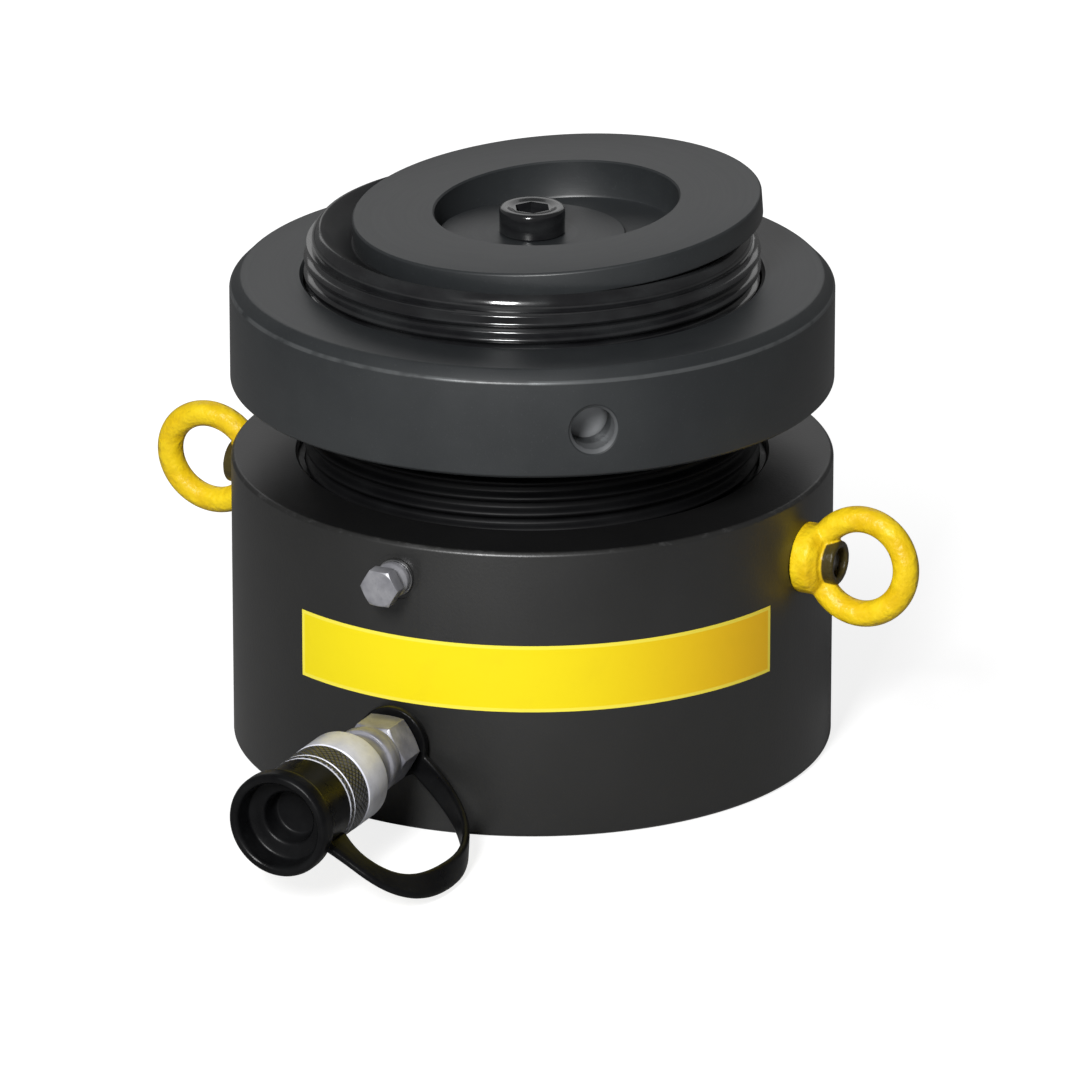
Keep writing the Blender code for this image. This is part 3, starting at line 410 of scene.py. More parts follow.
# %% Plain finishes
def plain_finish(name, dark, light, roughness, metallic, scale, depth):
    """A surface that is clouded between two colours, with fine marks of a given depth."""
    material, place = new_finish(name, Metallic=metallic)
    cloud = place.noise(scale, 4, 0.6)
    marks = place.noise(scale * 14, 2, 0.5)
    connect(
        material,
        place,
        Base_Color=cloud.step(0.3, 0.7).blend(colour(*dark), colour(*light)),
        Roughness=cloud * 0.16 + roughness,
        height=marks,
        depth=depth,
    )


plain_finish("plain_steel", (0.26, 0.26, 0.27), (0.48, 0.48, 0.48), 0.24, 1.0, 90, 0.00003)
plain_finish("bearing_bronze", (0.50, 0.32, 0.12), (0.68, 0.46, 0.20), 0.26, 1.0, 70, 0.00003)
plain_finish("seal_rubber", (0.020, 0.045, 0.13), (0.035, 0.07, 0.18), 0.40, 0.0, 60, 0.00004)
plain_finish("seal_plastic", (0.66, 0.63, 0.52), (0.78, 0.75, 0.66), 0.36, 0.0, 60, 0.00003)

# %% [markdown]
# ## Black rubber
#
# The cap and its strap are moulded in black rubber with a slight sheen. A mould leaves a fine, even
# grain, handling polishes it in patches, and grey dust stays in places.

# %% Black rubber
material, place = new_finish("black_rubber", Specular_IOR_Level=0.15)
handled = place.noise(55, 4, 0.6)
grain = place.noise(1900, 2, 0.5)
dust = place.noise(210, 4, 0.7).step(0.60, 0.82)
base = handled.step(0.3, 0.7).blend(colour(0.003, 0.003, 0.0034), colour(0.007, 0.0072, 0.0078))
base = (dust * 0.3).blend(base, colour(0.030, 0.032, 0.033))
connect(
    material,
    place,
    Base_Color=base,
    Roughness=handled.step(0.3, 0.7) * 0.18 + 0.26 + dust * 0.15,
    height=grain + handled * 2,
    depth=0.00003,
)

# %% [markdown]
# ## Yellow paint on the forged eyes
#
# The lifting eyes are drop forgings under a thick coat of golden yellow. The forging's skin shows
# through as shallow ripples, and the paint is darker where it is thin and where grime collects. The end
# of the hub, inside the ring, is painted near black as painted shade, standing for its dark hole.

# %% Yellow paint
EYE_HEIGHT = 0.0847
HUB_END_REACH = (0.1194, 0.1202, 0.1265, 0.1275)
HUB_END_RADIUS = (0.0080, 0.0084)

material, place = new_finish("yellow_paint", Specular_IOR_Level=0.3)
skin = place.noise(120, 3, 0.5)
peel = place.noise(380, 3, 0.5)
grime = place.noise(260, 5, 0.7).step(0.60, 0.80)
base = skin.step(0.28, 0.72).blend(colour(0.78, 0.50, 0.006), colour(0.90, 0.64, 0.012))
base = (grime * 0.55).blend(base, colour(0.36, 0.20, 0.01))
from_stud = (place.part("Z") - EYE_HEIGHT).hypot(place.part("Y"))
reach = place.part("X").math("ABSOLUTE")
shaded_hub_end = reach.between(*HUB_END_REACH) * (1 - from_stud.step(*HUB_END_RADIUS))
# Painted shade: the hub's end inside the ring is near black, standing for its dark hole.
base = (shaded_hub_end * 0.95).blend(base, colour(0.012, 0.013, 0.011))
connect(
    material,
    place,
    Base_Color=base,
    Roughness=skin * 0.16 + 0.32 + grime * 0.1,
    height=skin * 1.6 + peel * 0.4,
    depth=0.0011,
)

# %% [markdown]
# ## The yellow band
#
# A thin film runs round the front of the body. Its colour goes from a clear yellow at the left to a
# warmer, darker yellow at the right, which is painted shade where the body turns away from the lamp,
# and a paler line runs along its edge. Both are worked out from the angle round the body, which is
# measured from the middle of the band, and the line from the height too.

# %% Band finish
BODY_RADIUS = 0.110
BAND_MIDDLE = math.radians(27.3)
BAND_HALF_ARC = math.radians(49.9)
BAND_BOTTOM = 0.0485
BAND_TOP = 0.0737
BAND_MARGIN = 0.0014
LINE_BLUR = 0.0002

material, place = new_finish("band_film", Specular_IOR_Level=0.25)
straight = place.stretched((1, 1, 1), (0, 0, -BAND_MIDDLE))
angle = straight.part("X").math("ARCTAN2", 0 - straight.part("Y"))
share = angle * (0.5 / BAND_HALF_ARC) + 0.5
middle = (BAND_BOTTOM + BAND_TOP) / 2
to_top = (place.part("Z") - middle).math("ABSOLUTE")
to_end = angle.math("ABSOLUTE") * BODY_RADIUS
line_height = (BAND_TOP - BAND_BOTTOM) / 2 - BAND_MARGIN
line_reach = BAND_HALF_ARC * BODY_RADIUS - BAND_MARGIN
top_line = to_top.step(line_height, line_height + LINE_BLUR)
end_line = to_end.step(line_reach, line_reach + LINE_BLUR)
edge_line = top_line.math("MAXIMUM", end_line)
wear = place.noise(70, 4, 0.6)
# Painted shade: the band darkens towards its right end, where the body turns away from the lamp.
base = share.step(0.45, 1.0).blend(colour(0.91, 0.74, 0.008), colour(0.93, 0.54, 0.012))
base = (edge_line * 0.75).blend(base, colour(0.97, 0.86, 0.10))
base = (wear.step(0.5, 0.8) * 0.10).blend(base, colour(0.70, 0.48, 0.01))
connect(
    material,
    place,
    Base_Color=base,
    Roughness=wear * 0.14 + 0.34,
    height=place.noise(300, 2, 0.4),
    depth=0.00003,
)

# %% [markdown]
# ## The stage
#
# A pale floor and a white world stand in for the studio. The camera sees both as white, and the floor
# all the whiter farther out, so that only the shadows near the object show on it. Both light the object
# far less than they show. Two soft lamps do the rest: one in front, a little above and nearly in line
# with the coupler, which gives the turned faces their long gradients, and a wide, dim one behind, which
# the flat tops mirror.

# %% Floor and world
FLOOR_SIZE = 6
FLOOR_DROP = 0.0002
FLOOR_GLOW = 0.95
NEAR_SHARE = 0.86
NEAR_REACH = (0.13, 0.34)
WORLD_LIGHT = 0.11
MIRRORED_LIGHT = 0.03


def as_object(shape, name):
    """Puts a shape into a mesh and links an object that holds it."""
    mesh = bpy.data.meshes.new(name)
    shape.to_mesh(mesh)
    shape.free()
    item = bpy.data.objects.new(name, mesh)
    scene.collection.objects.link(item)
    return item


floor_shape = bmesh.new()
bmesh.ops.create_grid(floor_shape, x_segments=1, y_segments=1, size=FLOOR_SIZE)
floor = as_object(floor_shape, "floor")
floor.location.z = cad_low.z - FLOOR_DROP

material, place = new_finish("floor_paint", Roughness=0.7, Specular_IOR_Level=0.1)
cloud = place.noise(1.2, 2, 0.5)
seen_by_camera = place.node("LightPath")
farther = place.part("X").hypot(place.part("Y")).step(*NEAR_REACH)
connect(
    material,
    place,
    Base_Color=cloud.blend(colour(0.34, 0.34, 0.34), colour(0.36, 0.36, 0.36)),
    Emission_Color=farther.blend(colour(NEAR_SHARE, NEAR_SHARE, NEAR_SHARE), colour(1, 1, 1)),
    Emission_Strength=seen_by_camera * FLOOR_GLOW,
)
floor.data.materials.append(material)

world = bpy.data.worlds.new("studio")
scene.world = world
world.use_nodes = True
tree = world.node_tree
rays = tree.nodes.new("ShaderNodeLightPath").outputs
seen = Signal(tree, rays["Is Camera Ray"]).math("MAXIMUM", Signal(tree, rays["Is Transmission Ray"]))
mirrored = Signal(tree, rays["Is Glossy Ray"])
strength = seen * (1 - WORLD_LIGHT) + mirrored * MIRRORED_LIGHT + WORLD_LIGHT
sky = tree.nodes["Background"]
sky.inputs["Color"].default_value = colour(1, 1, 1)
tree.links.new(strength.socket, sky.inputs["Strength"])
print("floor at", round(floor.location.z * 1000, 2), "mm")


# %% Lamps
LAMP_AIM = Vector((0, 0, 0.1))


def lamp(name, azimuth, elevation, distance, size, power):
    """A soft box, this wide and high, that looks at the middle of the object."""
    data = bpy.data.lights.new(name, "AREA")
    data.shape = "RECTANGLE"
    data.size, data.size_y = size
    data.energy = power
    way = outward(math.radians(azimuth), math.radians(elevation))
    aimed(bpy.data.objects.new(name, data), LAMP_AIM, way, distance)
    print(name, "gives", power, "W")


lamp("key_lamp", 11, 32, 2.2, (0.4, 0.7), 53)
lamp("back_lamp", 206, 30, 2.4, (2.6, 1.2), 6.2)

# %% [markdown]
# ## Turning, softening and carving
#
# Nearly every piece here came off a lathe, so nearly every piece starts as half an outline that is
# spun round an axis. An outline lists (radius, height) in metres, as a drawing does, and its plain
# numbers are that drawing's dimensions. Real edges are never sharp: a bevel on the edges that meet at
# an angle catches the light as the real ones do. Holes are carved with an exact Boolean on a copy, and
# the result is read back, so that a finished piece carries no helper objects.


# %% Mesh helpers
def turned(outline, steps=160, ring=False):
    """Spins (radius, height) points about +Z. A ring's outline closes on itself."""
    shape = bmesh.new()
    points = [shape.verts.new((radius, 0, height)) for radius, height in outline]
    pairs = list(zip(points, points[1:]))
    if ring:
        pairs.append((points[-1], points[0]))
    edges = [shape.edges.new(pair) for pair in pairs]
    bmesh.ops.spin(
        shape,
        geom=points + edges,
        cent=(0, 0, 0),
        axis=(0, 0, 1),
        angle=math.tau,
        steps=steps,
        use_merge=True,
    )
    return closed(shape)


def closed(shape, distance=1e-6):
    """Merges doubles and turns the faces outwards."""
    bmesh.ops.remove_doubles(shape, verts=shape.verts[:], dist=distance)
    bmesh.ops.recalc_face_normals(shape, faces=shape.faces[:])
    return shape


def soften(shape, width, segments=3, angle=28, where=None):
    """Rounds the edges that meet at more than an angle, or those of them that where picks."""
    edges = [
        edge
        for edge in shape.edges
        if len(edge.link_faces) == 2
        and edge.calc_face_angle(0) > math.radians(angle)
        and (where is None or where((edge.verts[0].co + edge.verts[1].co) / 2))
    ]
    bmesh.ops.bevel(
        shape,
        geom=edges,
        offset=width,
        offset_type="OFFSET",
        segments=segments,
        profile=0.5,
        affect="EDGES",
        material=-1,
        clamp_overlap=True,
    )
    return shape


def laid(shape, origin, direction):
    """Moves a shape that was built along +Z to an origin, with its axis along a direction."""
    turn = Vector(direction).to_track_quat("Z", "Y").to_matrix().to_4x4()
    bmesh.ops.transform(shape, matrix=Matrix.Translation(origin) @ turn, verts=shape.verts[:])
    return shape


def cleared(item):
    """Takes a helper object and its mesh out of the file."""
    mesh = item.data
    bpy.data.objects.remove(item, do_unlink=True)
    bpy.data.meshes.remove(mesh)


def worked(shape, kind, **settings):
    """Runs one modifier on a shape and gives the result as a new shape."""
    holder = as_object(shape, "work")
    step = holder.modifiers.new("work", kind)
    for name, value in settings.items():
        setattr(step, name, value)
    result = bmesh.new()
    result.from_object(holder, bpy.context.evaluated_depsgraph_get())
    cleared(holder)
    return result


def carved(shape, tool, operation="DIFFERENCE"):
    """Cuts, joins or keeps the overlap of two closed shapes."""
    holder = as_object(tool, "tool")
    result = worked(shape, "BOOLEAN", operation=operation, solver="EXACT", object=holder)
    cleared(holder)
    return result


def joined(shape, *others):
    """Puts several closed shapes into one mesh."""
    for other in others:
        mesh = bpy.data.meshes.new("joining")
        other.to_mesh(mesh)
        other.free()
        shape.from_mesh(mesh)
        bpy.data.meshes.remove(mesh)
    return shape


def smoothed(shape, times):
    """Rolls the corners of a fine, even skin over."""
    axes = {f"use_axis_{axis}": True for axis in "xyz"}
    for _ in range(times):
        bmesh.ops.smooth_vert(shape, verts=shape.verts[:], factor=0.5, **axes)
    return shape


def piece(name, shape, body, finish, nodes=(), sharp=34):
    """Makes the finished object: shaded, dressed, riding on its body and standing for its CAD nodes."""
    item = as_object(shape, name)
    mesh = item.data
    mesh.shade_smooth()
    mesh.set_sharp_from_angle(angle=math.radians(sharp))
    mesh.materials.append(finishes[finish])
    if body:
        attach(item, body)
    if nodes:
        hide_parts(*nodes)
    low = Vector(map(min, zip(*(v.co for v in mesh.vertices))))
    high = Vector(map(max, zip(*(v.co for v in mesh.vertices))))
    size = [round((b - a) * 1000, 1) for a, b in zip(low, high)]
    print(f"{name}: {len(mesh.polygons)} faces, {size} mm")
    return item


print("mesh helpers ready")

# %% [markdown]
# ## The body
#
# One forging, turned all over: a thick floor, a heavy wall and a bore. The bore stays open, with the
# groove for the wiper near its mouth. The rims carry a small chamfer whose two corners are rounded. The
# holes for the oil port, the plug and the eyes' studs are carved, with a flat face round each where a
# washer or a collar beds.

# %% Body
BODY_HEIGHT = 0.109
FLOOR_THICKNESS = 0.026
BORE_RADIUS = 0.0855
RIM = 0.0012
PLUG_HEIGHT = 0.096
WIPER_TOP = BODY_HEIGHT - 0.0025
WIPER_BOTTOM = BODY_HEIGHT - 0.0081
WIPER_DEPTH = 0.003
EYE_SPOT_FACE = 0.001
TOOL_CLEARANCE = 0.004

body_shape = turned(
    [
        (0, 0),
        (BODY_RADIUS - RIM, 0),
        (BODY_RADIUS, RIM),
        (BODY_RADIUS, BODY_HEIGHT - RIM),
        (BODY_RADIUS - RIM, BODY_HEIGHT),
        (BORE_RADIUS + 0.001, BODY_HEIGHT),
        (BORE_RADIUS, BODY_HEIGHT - 0.001),
        (BORE_RADIUS, WIPER_TOP),
        (BORE_RADIUS + WIPER_DEPTH, WIPER_TOP),
        (BORE_RADIUS + WIPER_DEPTH, WIPER_BOTTOM),
        (BORE_RADIUS, WIPER_BOTTOM),
        (BORE_RADIUS, FLOOR_THICKNESS + 0.001),
        (BORE_RADIUS - 0.001, FLOOR_THICKNESS),
        (0, FLOOR_THICKNESS),
    ],
    steps=200,
)
soften(body_shape, 0.0005, 3, 28, lambda middle: middle.xy.length > 0.1)
holes = [  # radius, depth, the way it opens, height
    (0.0085, 0.014, outward(0), COUPLER_HEIGHT),
    (0.0085, 0.00033, outward(0), PLUG_HEIGHT),
    (0.0048, 0.0112, outward(0), PLUG_HEIGHT),
]
for side in (1, -1):
    holes.append((0.013, EYE_SPOT_FACE, Vector((side, 0, 0)), EYE_HEIGHT))
    holes.append((0.0053, 0.0123, Vector((side, 0, 0)), EYE_HEIGHT))
for radius, depth, way, height in holes:
    outline = [(0, -depth), (radius, -depth), (radius, TOOL_CLEARANCE), (0, TOOL_CLEARANCE)]
    tool = turned(outline, 48)
    laid(tool, way * BODY_RADIUS + Vector((0, 0, height)), way)
    body_shape = carved(body_shape, tool)
piece("body_shell", body_shape, "cylinder", "body_paint", ["cylinder_body"])

# %% [markdown]
# ## The yellow band round the front
#
# The film is 0.15 mm thick, and it is modelled as a real strip: a small upright section, spun through
# the band's angle only, just clear of the paint.

# %% Band
FILM_INSIDE = BODY_RADIUS + 0.00003
FILM_OUTSIDE = BODY_RADIUS + 0.00018

band_shape = bmesh.new()
start = outward(BAND_MIDDLE - BAND_HALF_ARC)
corners = [
    (FILM_INSIDE, BAND_BOTTOM),
    (FILM_OUTSIDE, BAND_BOTTOM),
    (FILM_OUTSIDE, BAND_TOP),
    (FILM_INSIDE, BAND_TOP),
]
points = [band_shape.verts.new(start * reach + Vector((0, 0, height))) for reach, height in corners]
section = band_shape.faces.new(points)
bmesh.ops.spin(
    band_shape,
    geom=[section],
    cent=(0, 0, 0),
    axis=(0, 0, 1),
    angle=2 * BAND_HALF_ARC,
    steps=110,
)
closed(band_shape)
piece("front_band", band_shape, "cylinder", "band_film")

# %% [markdown]
# ## A helical thread
#
# Seen from above, the plunger's thread is what makes this a lock-nut cylinder, so it is cut as a real
# helix. One tooth's outline is spun round the axis while it climbs one pitch a turn. The end of each
# turn meets the start of the next, and merging the doubles closes the surface. Two planes trim it, and
# the open ends are filled.


# %% Thread
def thread(crest, depth, pitch, bottom, top, steps, start=0.0):
    """A closed length of right-hand thread. start is the angle at which a crest stands at bottom."""
    root = crest - depth
    tooth = [
        (root, 0.0),
        (root, 0.12),
        (root + depth * 0.10, 0.19),
        (crest - depth * 0.48, 0.29),
        (crest - depth * 0.18, 0.37),
        (crest - depth * 0.04, 0.44),
        (crest, 0.50),
        (crest - depth * 0.04, 0.56),
        (crest - depth * 0.18, 0.63),
        (crest - depth * 0.48, 0.71),
        (root + depth * 0.10, 0.81),
        (root, 0.88),
        (root, 1.0),
    ]
    turns = math.ceil((top - bottom) / pitch) + 3
    shape = bmesh.new()
    first = bottom - (1.5 + start / math.tau % 1) * pitch
    points = [shape.verts.new((radius, 0, first + rise * pitch)) for radius, rise in tooth]
    edges = [shape.edges.new(pair) for pair in zip(points, points[1:])]
    bmesh.ops.spin(
        shape,
        geom=points + edges,
        cent=(0, 0, 0),
        axis=(0, 0, 1),
        dvec=(0, 0, pitch / steps),
        angle=math.tau * turns,
        steps=steps * turns,
        use_merge=False,
    )
    bmesh.ops.remove_doubles(shape, verts=shape.verts[:], dist=1e-6)
    for height, side in ((bottom, -1), (top, 1)):
        bmesh.ops.bisect_plane(
            shape,
            geom=shape.verts[:] + shape.edges[:] + shape.faces[:],
            plane_co=(0, 0, height),
            plane_no=(0, 0, side),
            clear_outer=True,
        )
    rim = [edge for edge in shape.edges if edge.is_boundary]
    bmesh.ops.holes_fill(shape, edges=rim, sides=0)
    return closed(shape)


print("thread ready")

# %% [markdown]
# ## The plunger
#
# Below is the piston head with the grooves for its rings, then a plain neck, then the thread, and on
# top a short smooth collar with a rounded brow and the hollow seat that the saddle rocks in. The seat is
# part of a sphere, so its outline is an arc about the point that the saddle turns round.

# %% Plunger
NUT_BOTTOM = 0.137
NUT_TOP = 0.177
PLUNGER_TOP = 0.1948
THREAD_RADIUS = 0.083
THREAD_DEPTH = 0.0028
PITCH = 0.006
SEAT_RADIUS = 0.1504
SEAT_CENTRE = 0.3240538
PISTON_BOTTOM = 0.0663
SEAL_GROOVE = (0.0693, 0.0789)
BEARING_GROOVE = (0.0825, 0.0901)
PISTON_TOP = 0.0923
PISTON_RADIUS = 0.085
GROOVE_RADIUS = 0.0818
NECK_RADIUS = THREAD_RADIUS - 0.003
NECK_TOP = 0.1000
THREAD_BOTTOM = 0.0985
CREST_OVER_NUT = 0.0023
COLLAR_RADIUS = 0.080
COLLAR_BOTTOM = PLUNGER_TOP - 0.0052
SEAT_EDGE = 0.0766
POCKET_RADIUS, POCKET_FLOOR = 0.0135, 0.1751
TAPPED_RADIUS, TAPPED_FLOOR = 0.0083, 0.1531


def seat_arc(radius, centre, inner, outer, steps):
    """Points on the lower side of a circle about (0, centre), between two radii."""
    start, end = math.asin(inner / radius), math.asin(outer / radius)
    angles = [start + (end - start) * step / steps for step in range(steps + 1)]
    return [(radius * math.sin(a), centre - radius * math.cos(a)) for a in angles]


head_shape = turned(
    [
        (0, PISTON_BOTTOM),
        (PISTON_RADIUS - 0.0012, PISTON_BOTTOM),
        (PISTON_RADIUS, PISTON_BOTTOM + 0.0012),
        (PISTON_RADIUS, SEAL_GROOVE[0]),
        (GROOVE_RADIUS, SEAL_GROOVE[0]),
        (GROOVE_RADIUS, SEAL_GROOVE[1]),
        (PISTON_RADIUS, SEAL_GROOVE[1]),
        (PISTON_RADIUS, BEARING_GROOVE[0]),
        (GROOVE_RADIUS, BEARING_GROOVE[0]),
        (GROOVE_RADIUS, BEARING_GROOVE[1]),
        (PISTON_RADIUS, BEARING_GROOVE[1]),
        (PISTON_RADIUS, PISTON_TOP - 0.0012),
        (PISTON_RADIUS - 0.0012, PISTON_TOP),
        (NECK_RADIUS, PISTON_TOP),
        (NECK_RADIUS, NECK_TOP),
        (0, NECK_TOP),
    ],
    steps=160,
)
collar_outline = [
    (0, COLLAR_BOTTOM - 0.0040),
    (COLLAR_RADIUS - 0.0004, COLLAR_BOTTOM - 0.0040),
    (COLLAR_RADIUS - 0.0004, COLLAR_BOTTOM - 0.0006),
    (COLLAR_RADIUS - 0.0001, COLLAR_BOTTOM + 0.0003),
    (COLLAR_RADIUS, COLLAR_BOTTOM + 0.0010),
    (COLLAR_RADIUS - 0.0001, COLLAR_BOTTOM + 0.0018),
    (COLLAR_RADIUS - 0.0004, COLLAR_BOTTOM + 0.0027),
    (COLLAR_RADIUS - 0.0009, COLLAR_BOTTOM + 0.0035),
    (COLLAR_RADIUS - 0.0015, COLLAR_BOTTOM + 0.0042),
    (COLLAR_RADIUS - 0.0021, PLUNGER_TOP - 0.0004),
    (0.0772, PLUNGER_TOP),
]
collar_outline += reversed(seat_arc(SEAT_RADIUS, SEAT_CENTRE, POCKET_RADIUS, SEAT_EDGE, 28))
collar_outline += [
    (POCKET_RADIUS, POCKET_FLOOR),
    (TAPPED_RADIUS, POCKET_FLOOR),
    (TAPPED_RADIUS, TAPPED_FLOOR),
    (0, 0.148),
]
collar_shape = turned(collar_outline, steps=200)
# A crest shows just over the nut, on the camera's side.
turns_to_crest = (NUT_TOP + CREST_OVER_NUT - THREAD_BOTTOM) / PITCH
helix = thread(
    THREAD_RADIUS,
    THREAD_DEPTH,
    PITCH,
    THREAD_BOTTOM,
    COLLAR_BOTTOM - 0.0009,
    steps=160,
    start=CAMERA_AZIMUTH - math.pi / 2 - turns_to_crest * math.tau,
)
plunger_shape = joined(head_shape, helix, collar_shape)
piece("plunger_rod", plunger_shape, "plunger", "thread_oxide", ["plunger"], sharp=40)

# %% [markdown]
# ## The lock nut
#
# A ring as wide as the body. Three blind holes in its side take a tommy bar, and each is countersunk so
# that the bar finds it. The top edge carries a broad chamfer that has been broken by hand on both
# sides, which shows as a soft band of light all the way round. The bottom edge has a small one.

# %% Lock nut
BAR_HEIGHT = 0.1548
BAR_AZIMUTH = math.radians(37.6)
NUT_BORE = 0.08335
NUT_CHAMFER = 0.0042
BAR_HOLE = 0.0079
BAR_HOLES = 3

nut_shape = turned(
    [
        (NUT_BORE + 0.0008, NUT_BOTTOM),
        (BODY_RADIUS - RIM, NUT_BOTTOM),
        (BODY_RADIUS, NUT_BOTTOM + RIM),
        (BODY_RADIUS, NUT_TOP - NUT_CHAMFER),
        (BODY_RADIUS - NUT_CHAMFER, NUT_TOP),
        (NUT_BORE + 0.0012, NUT_TOP),
        (NUT_BORE, NUT_TOP - 0.0012),
        (NUT_BORE, NUT_BOTTOM + 0.0008),
    ],
    steps=224,
    ring=True,
)
soften(nut_shape, 0.0006, 3, 20, lambda middle: middle.xy.length > 0.1 and middle.z > NUT_TOP - 0.006)
soften(nut_shape, 0.0004, 3, 28, lambda middle: middle.z < NUT_BOTTOM + 0.002)
for index in range(BAR_HOLES):
    way = outward(BAR_AZIMUTH + index * math.tau / BAR_HOLES)
    tool = turned(
        [
            (0, -0.0168),
            (BAR_HOLE, -0.0147),
            (BAR_HOLE, -0.0018),
            (BAR_HOLE + 0.0004, -0.0013),
            (0.0141, 0.0045),
            (0, 0.0045),
        ],
        72,
    )
    laid(tool, way * BODY_RADIUS + Vector((0, 0, BAR_HEIGHT)), way)
    nut_shape = carved(nut_shape, tool)
piece("lock_ring", nut_shape, "lock_nut", "nut_oxide", ["lock_nut"], sharp=30)

# %% [markdown]
# ## The tilting saddle
#
# Its underside is part of a sphere that fits the plunger's seat. Its top is a flat land round a shallow
# recess. The land's outer edge is broken a little. The saddle is turned upright about the sphere's
# centre and then tilted a few degrees, as it stands in the photograph.

# %% Saddle
SADDLE_RADIUS = 0.0745
SADDLE_TOP = 0.1215912
SADDLE_SPHERE = 0.150
RECESS_RADIUS = 0.0445
RECESS_DEPTH = 0.0145
RECESS_FLOOR = -SADDLE_TOP - RECESS_DEPTH
SADDLE_HOLE = 0.0212468
TILT = math.radians(4.3)
TILT_AXIS = outward(math.radians(42))

saddle_outline = seat_arc(SADDLE_SPHERE, 0, SADDLE_HOLE, SADDLE_RADIUS - 0.0003, 28)
saddle_outline += [
    (SADDLE_RADIUS, saddle_outline[-1][1] + 0.0003),
    (SADDLE_RADIUS, -SADDLE_TOP - 0.0007),
    (SADDLE_RADIUS - 0.0007, -SADDLE_TOP),
    (RECESS_RADIUS + 0.0006, -SADDLE_TOP),
    (RECESS_RADIUS, -SADDLE_TOP - 0.0006),
    (RECESS_RADIUS, RECESS_FLOOR + 0.0012),
    (RECESS_RADIUS - 0.0004, RECESS_FLOOR + 0.0004),
    (RECESS_RADIUS - 0.0012, RECESS_FLOOR),
    (SADDLE_HOLE + 0.0008, RECESS_FLOOR),
    (SADDLE_HOLE, RECESS_FLOOR - 0.0008),
]
saddle_shape = turned(saddle_outline, steps=200, ring=True)
soften(saddle_shape, 0.0002, 2, 28, lambda middle: middle.xy.length > SADDLE_RADIUS - 0.002)
tilt = Matrix.Translation((0, 0, SEAT_CENTRE)) @ Matrix.Rotation(TILT, 4, TILT_AXIS)
bmesh.ops.transform(saddle_shape, matrix=tilt, verts=saddle_shape.verts[:])
piece("saddle_plate", saddle_shape, "saddle", "nut_oxide", ["saddle"], sharp=30)

# %% [markdown]
# ## The saddle's screw and washer
#
# A socket head screw and a wide washer keep the saddle on the plunger. The head is a turned drum with a
# rounded top edge, and a hexagonal bar is carved out of it for the socket.

# %% Screw and washer
washer_low, washer_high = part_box("saddle_washer")
screw_low, screw_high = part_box("saddle_screw")
BED_GAP = 0.0003
SCREW_HEAD_RADIUS = 0.012
HEAD_BOTTOM = washer_high.z + BED_GAP
SOCKET_FLATS = 0.0118
SOCKET_DEPTH = 0.0065
SHANK_RADIUS = 0.008
WASHER_BORE = 0.0083


def hexagon(flats, bottom, top):
    """A hexagonal bar about +Z."""
    shape = bmesh.new()
    made = bmesh.ops.create_circle(shape, cap_ends=True, radius=flats / math.sqrt(3), segments=6)
    turn = Matrix.Translation((0, 0, bottom)) @ Matrix.Rotation(math.pi / 6, 4, "Z")
    bmesh.ops.transform(shape, matrix=turn, verts=made["verts"])
    grown = bmesh.ops.extrude_face_region(shape, geom=shape.faces[:])
    raised = [item for item in grown["geom"] if isinstance(item, bmesh.types.BMVert)]
    bmesh.ops.translate(shape, verts=raised, vec=(0, 0, top - bottom))
    return closed(shape)


screw_top = screw_high.z
screw_shape = turned(
    [
        (0, screw_low.z),
        (SHANK_RADIUS - 0.001, screw_low.z),
        (SHANK_RADIUS, screw_low.z + 0.001),
        (SHANK_RADIUS, HEAD_BOTTOM),
        (SCREW_HEAD_RADIUS - 0.0003, HEAD_BOTTOM),
        (SCREW_HEAD_RADIUS, HEAD_BOTTOM + 0.0003),
        (SCREW_HEAD_RADIUS, screw_top - 0.0012),
        (SCREW_HEAD_RADIUS - 0.0003, screw_top - 0.0005),
        (SCREW_HEAD_RADIUS - 0.0008, screw_top - 0.0001),
        (SCREW_HEAD_RADIUS - 0.0014, screw_top),
        (0.0086, screw_top),
        (0.0076, screw_top - 0.0006),
        (0, screw_top - 0.0006),
    ],
    steps=96,
)
socket = hexagon(SOCKET_FLATS, screw_top - SOCKET_DEPTH, screw_top + TOOL_CLEARANCE)
screw_shape = carved(screw_shape, socket)
piece("saddle_bolt", screw_shape, "plunger", "thread_oxide", ["saddle_screw"], 32)

washer_shape = turned(
    [
        (WASHER_BORE, washer_low.z),
        (washer_high.x - 0.0003, washer_low.z),
        (washer_high.x, washer_low.z + 0.0003),
        (washer_high.x, washer_high.z - 0.0004),
        (washer_high.x - 0.0004, washer_high.z),
        (WASHER_BORE, washer_high.z),
    ],
    steps=128,
    ring=True,
)
piece("saddle_disc", washer_shape, "plunger", "nut_oxide", ["saddle_washer"], sharp=30)

# %% [markdown]
# ## The lifting eyes
#
# An eye nut is a drop forging: a ring that flows into a round collar with no sharp corner anywhere, and
# a hub that ends inside the ring. They are joined as rough solids and bored for the stud. A voxel remesh
# then skins them as one piece, and smoothing rolls the corners over as a forging die does. Each eye was
# tightened a few degrees short of upright.

# %% Lifting eyes
EYE_RING = 0.0175
EYE_WIRE = 0.0047
EYE_TURN = math.radians(5.5)
EYE_SEAT = BODY_RADIUS - EYE_SPOT_FACE + BED_GAP
EYE_COLLAR = 0.0127
EYE_COLLAR_HEIGHT = 0.0095
EYE_HUB = 0.0078
EYE_HUB_HEIGHT = 0.0145
EYE_BORE = 0.0054
WIRE_GROWTH = 1.03
GROWTH = 0.0002


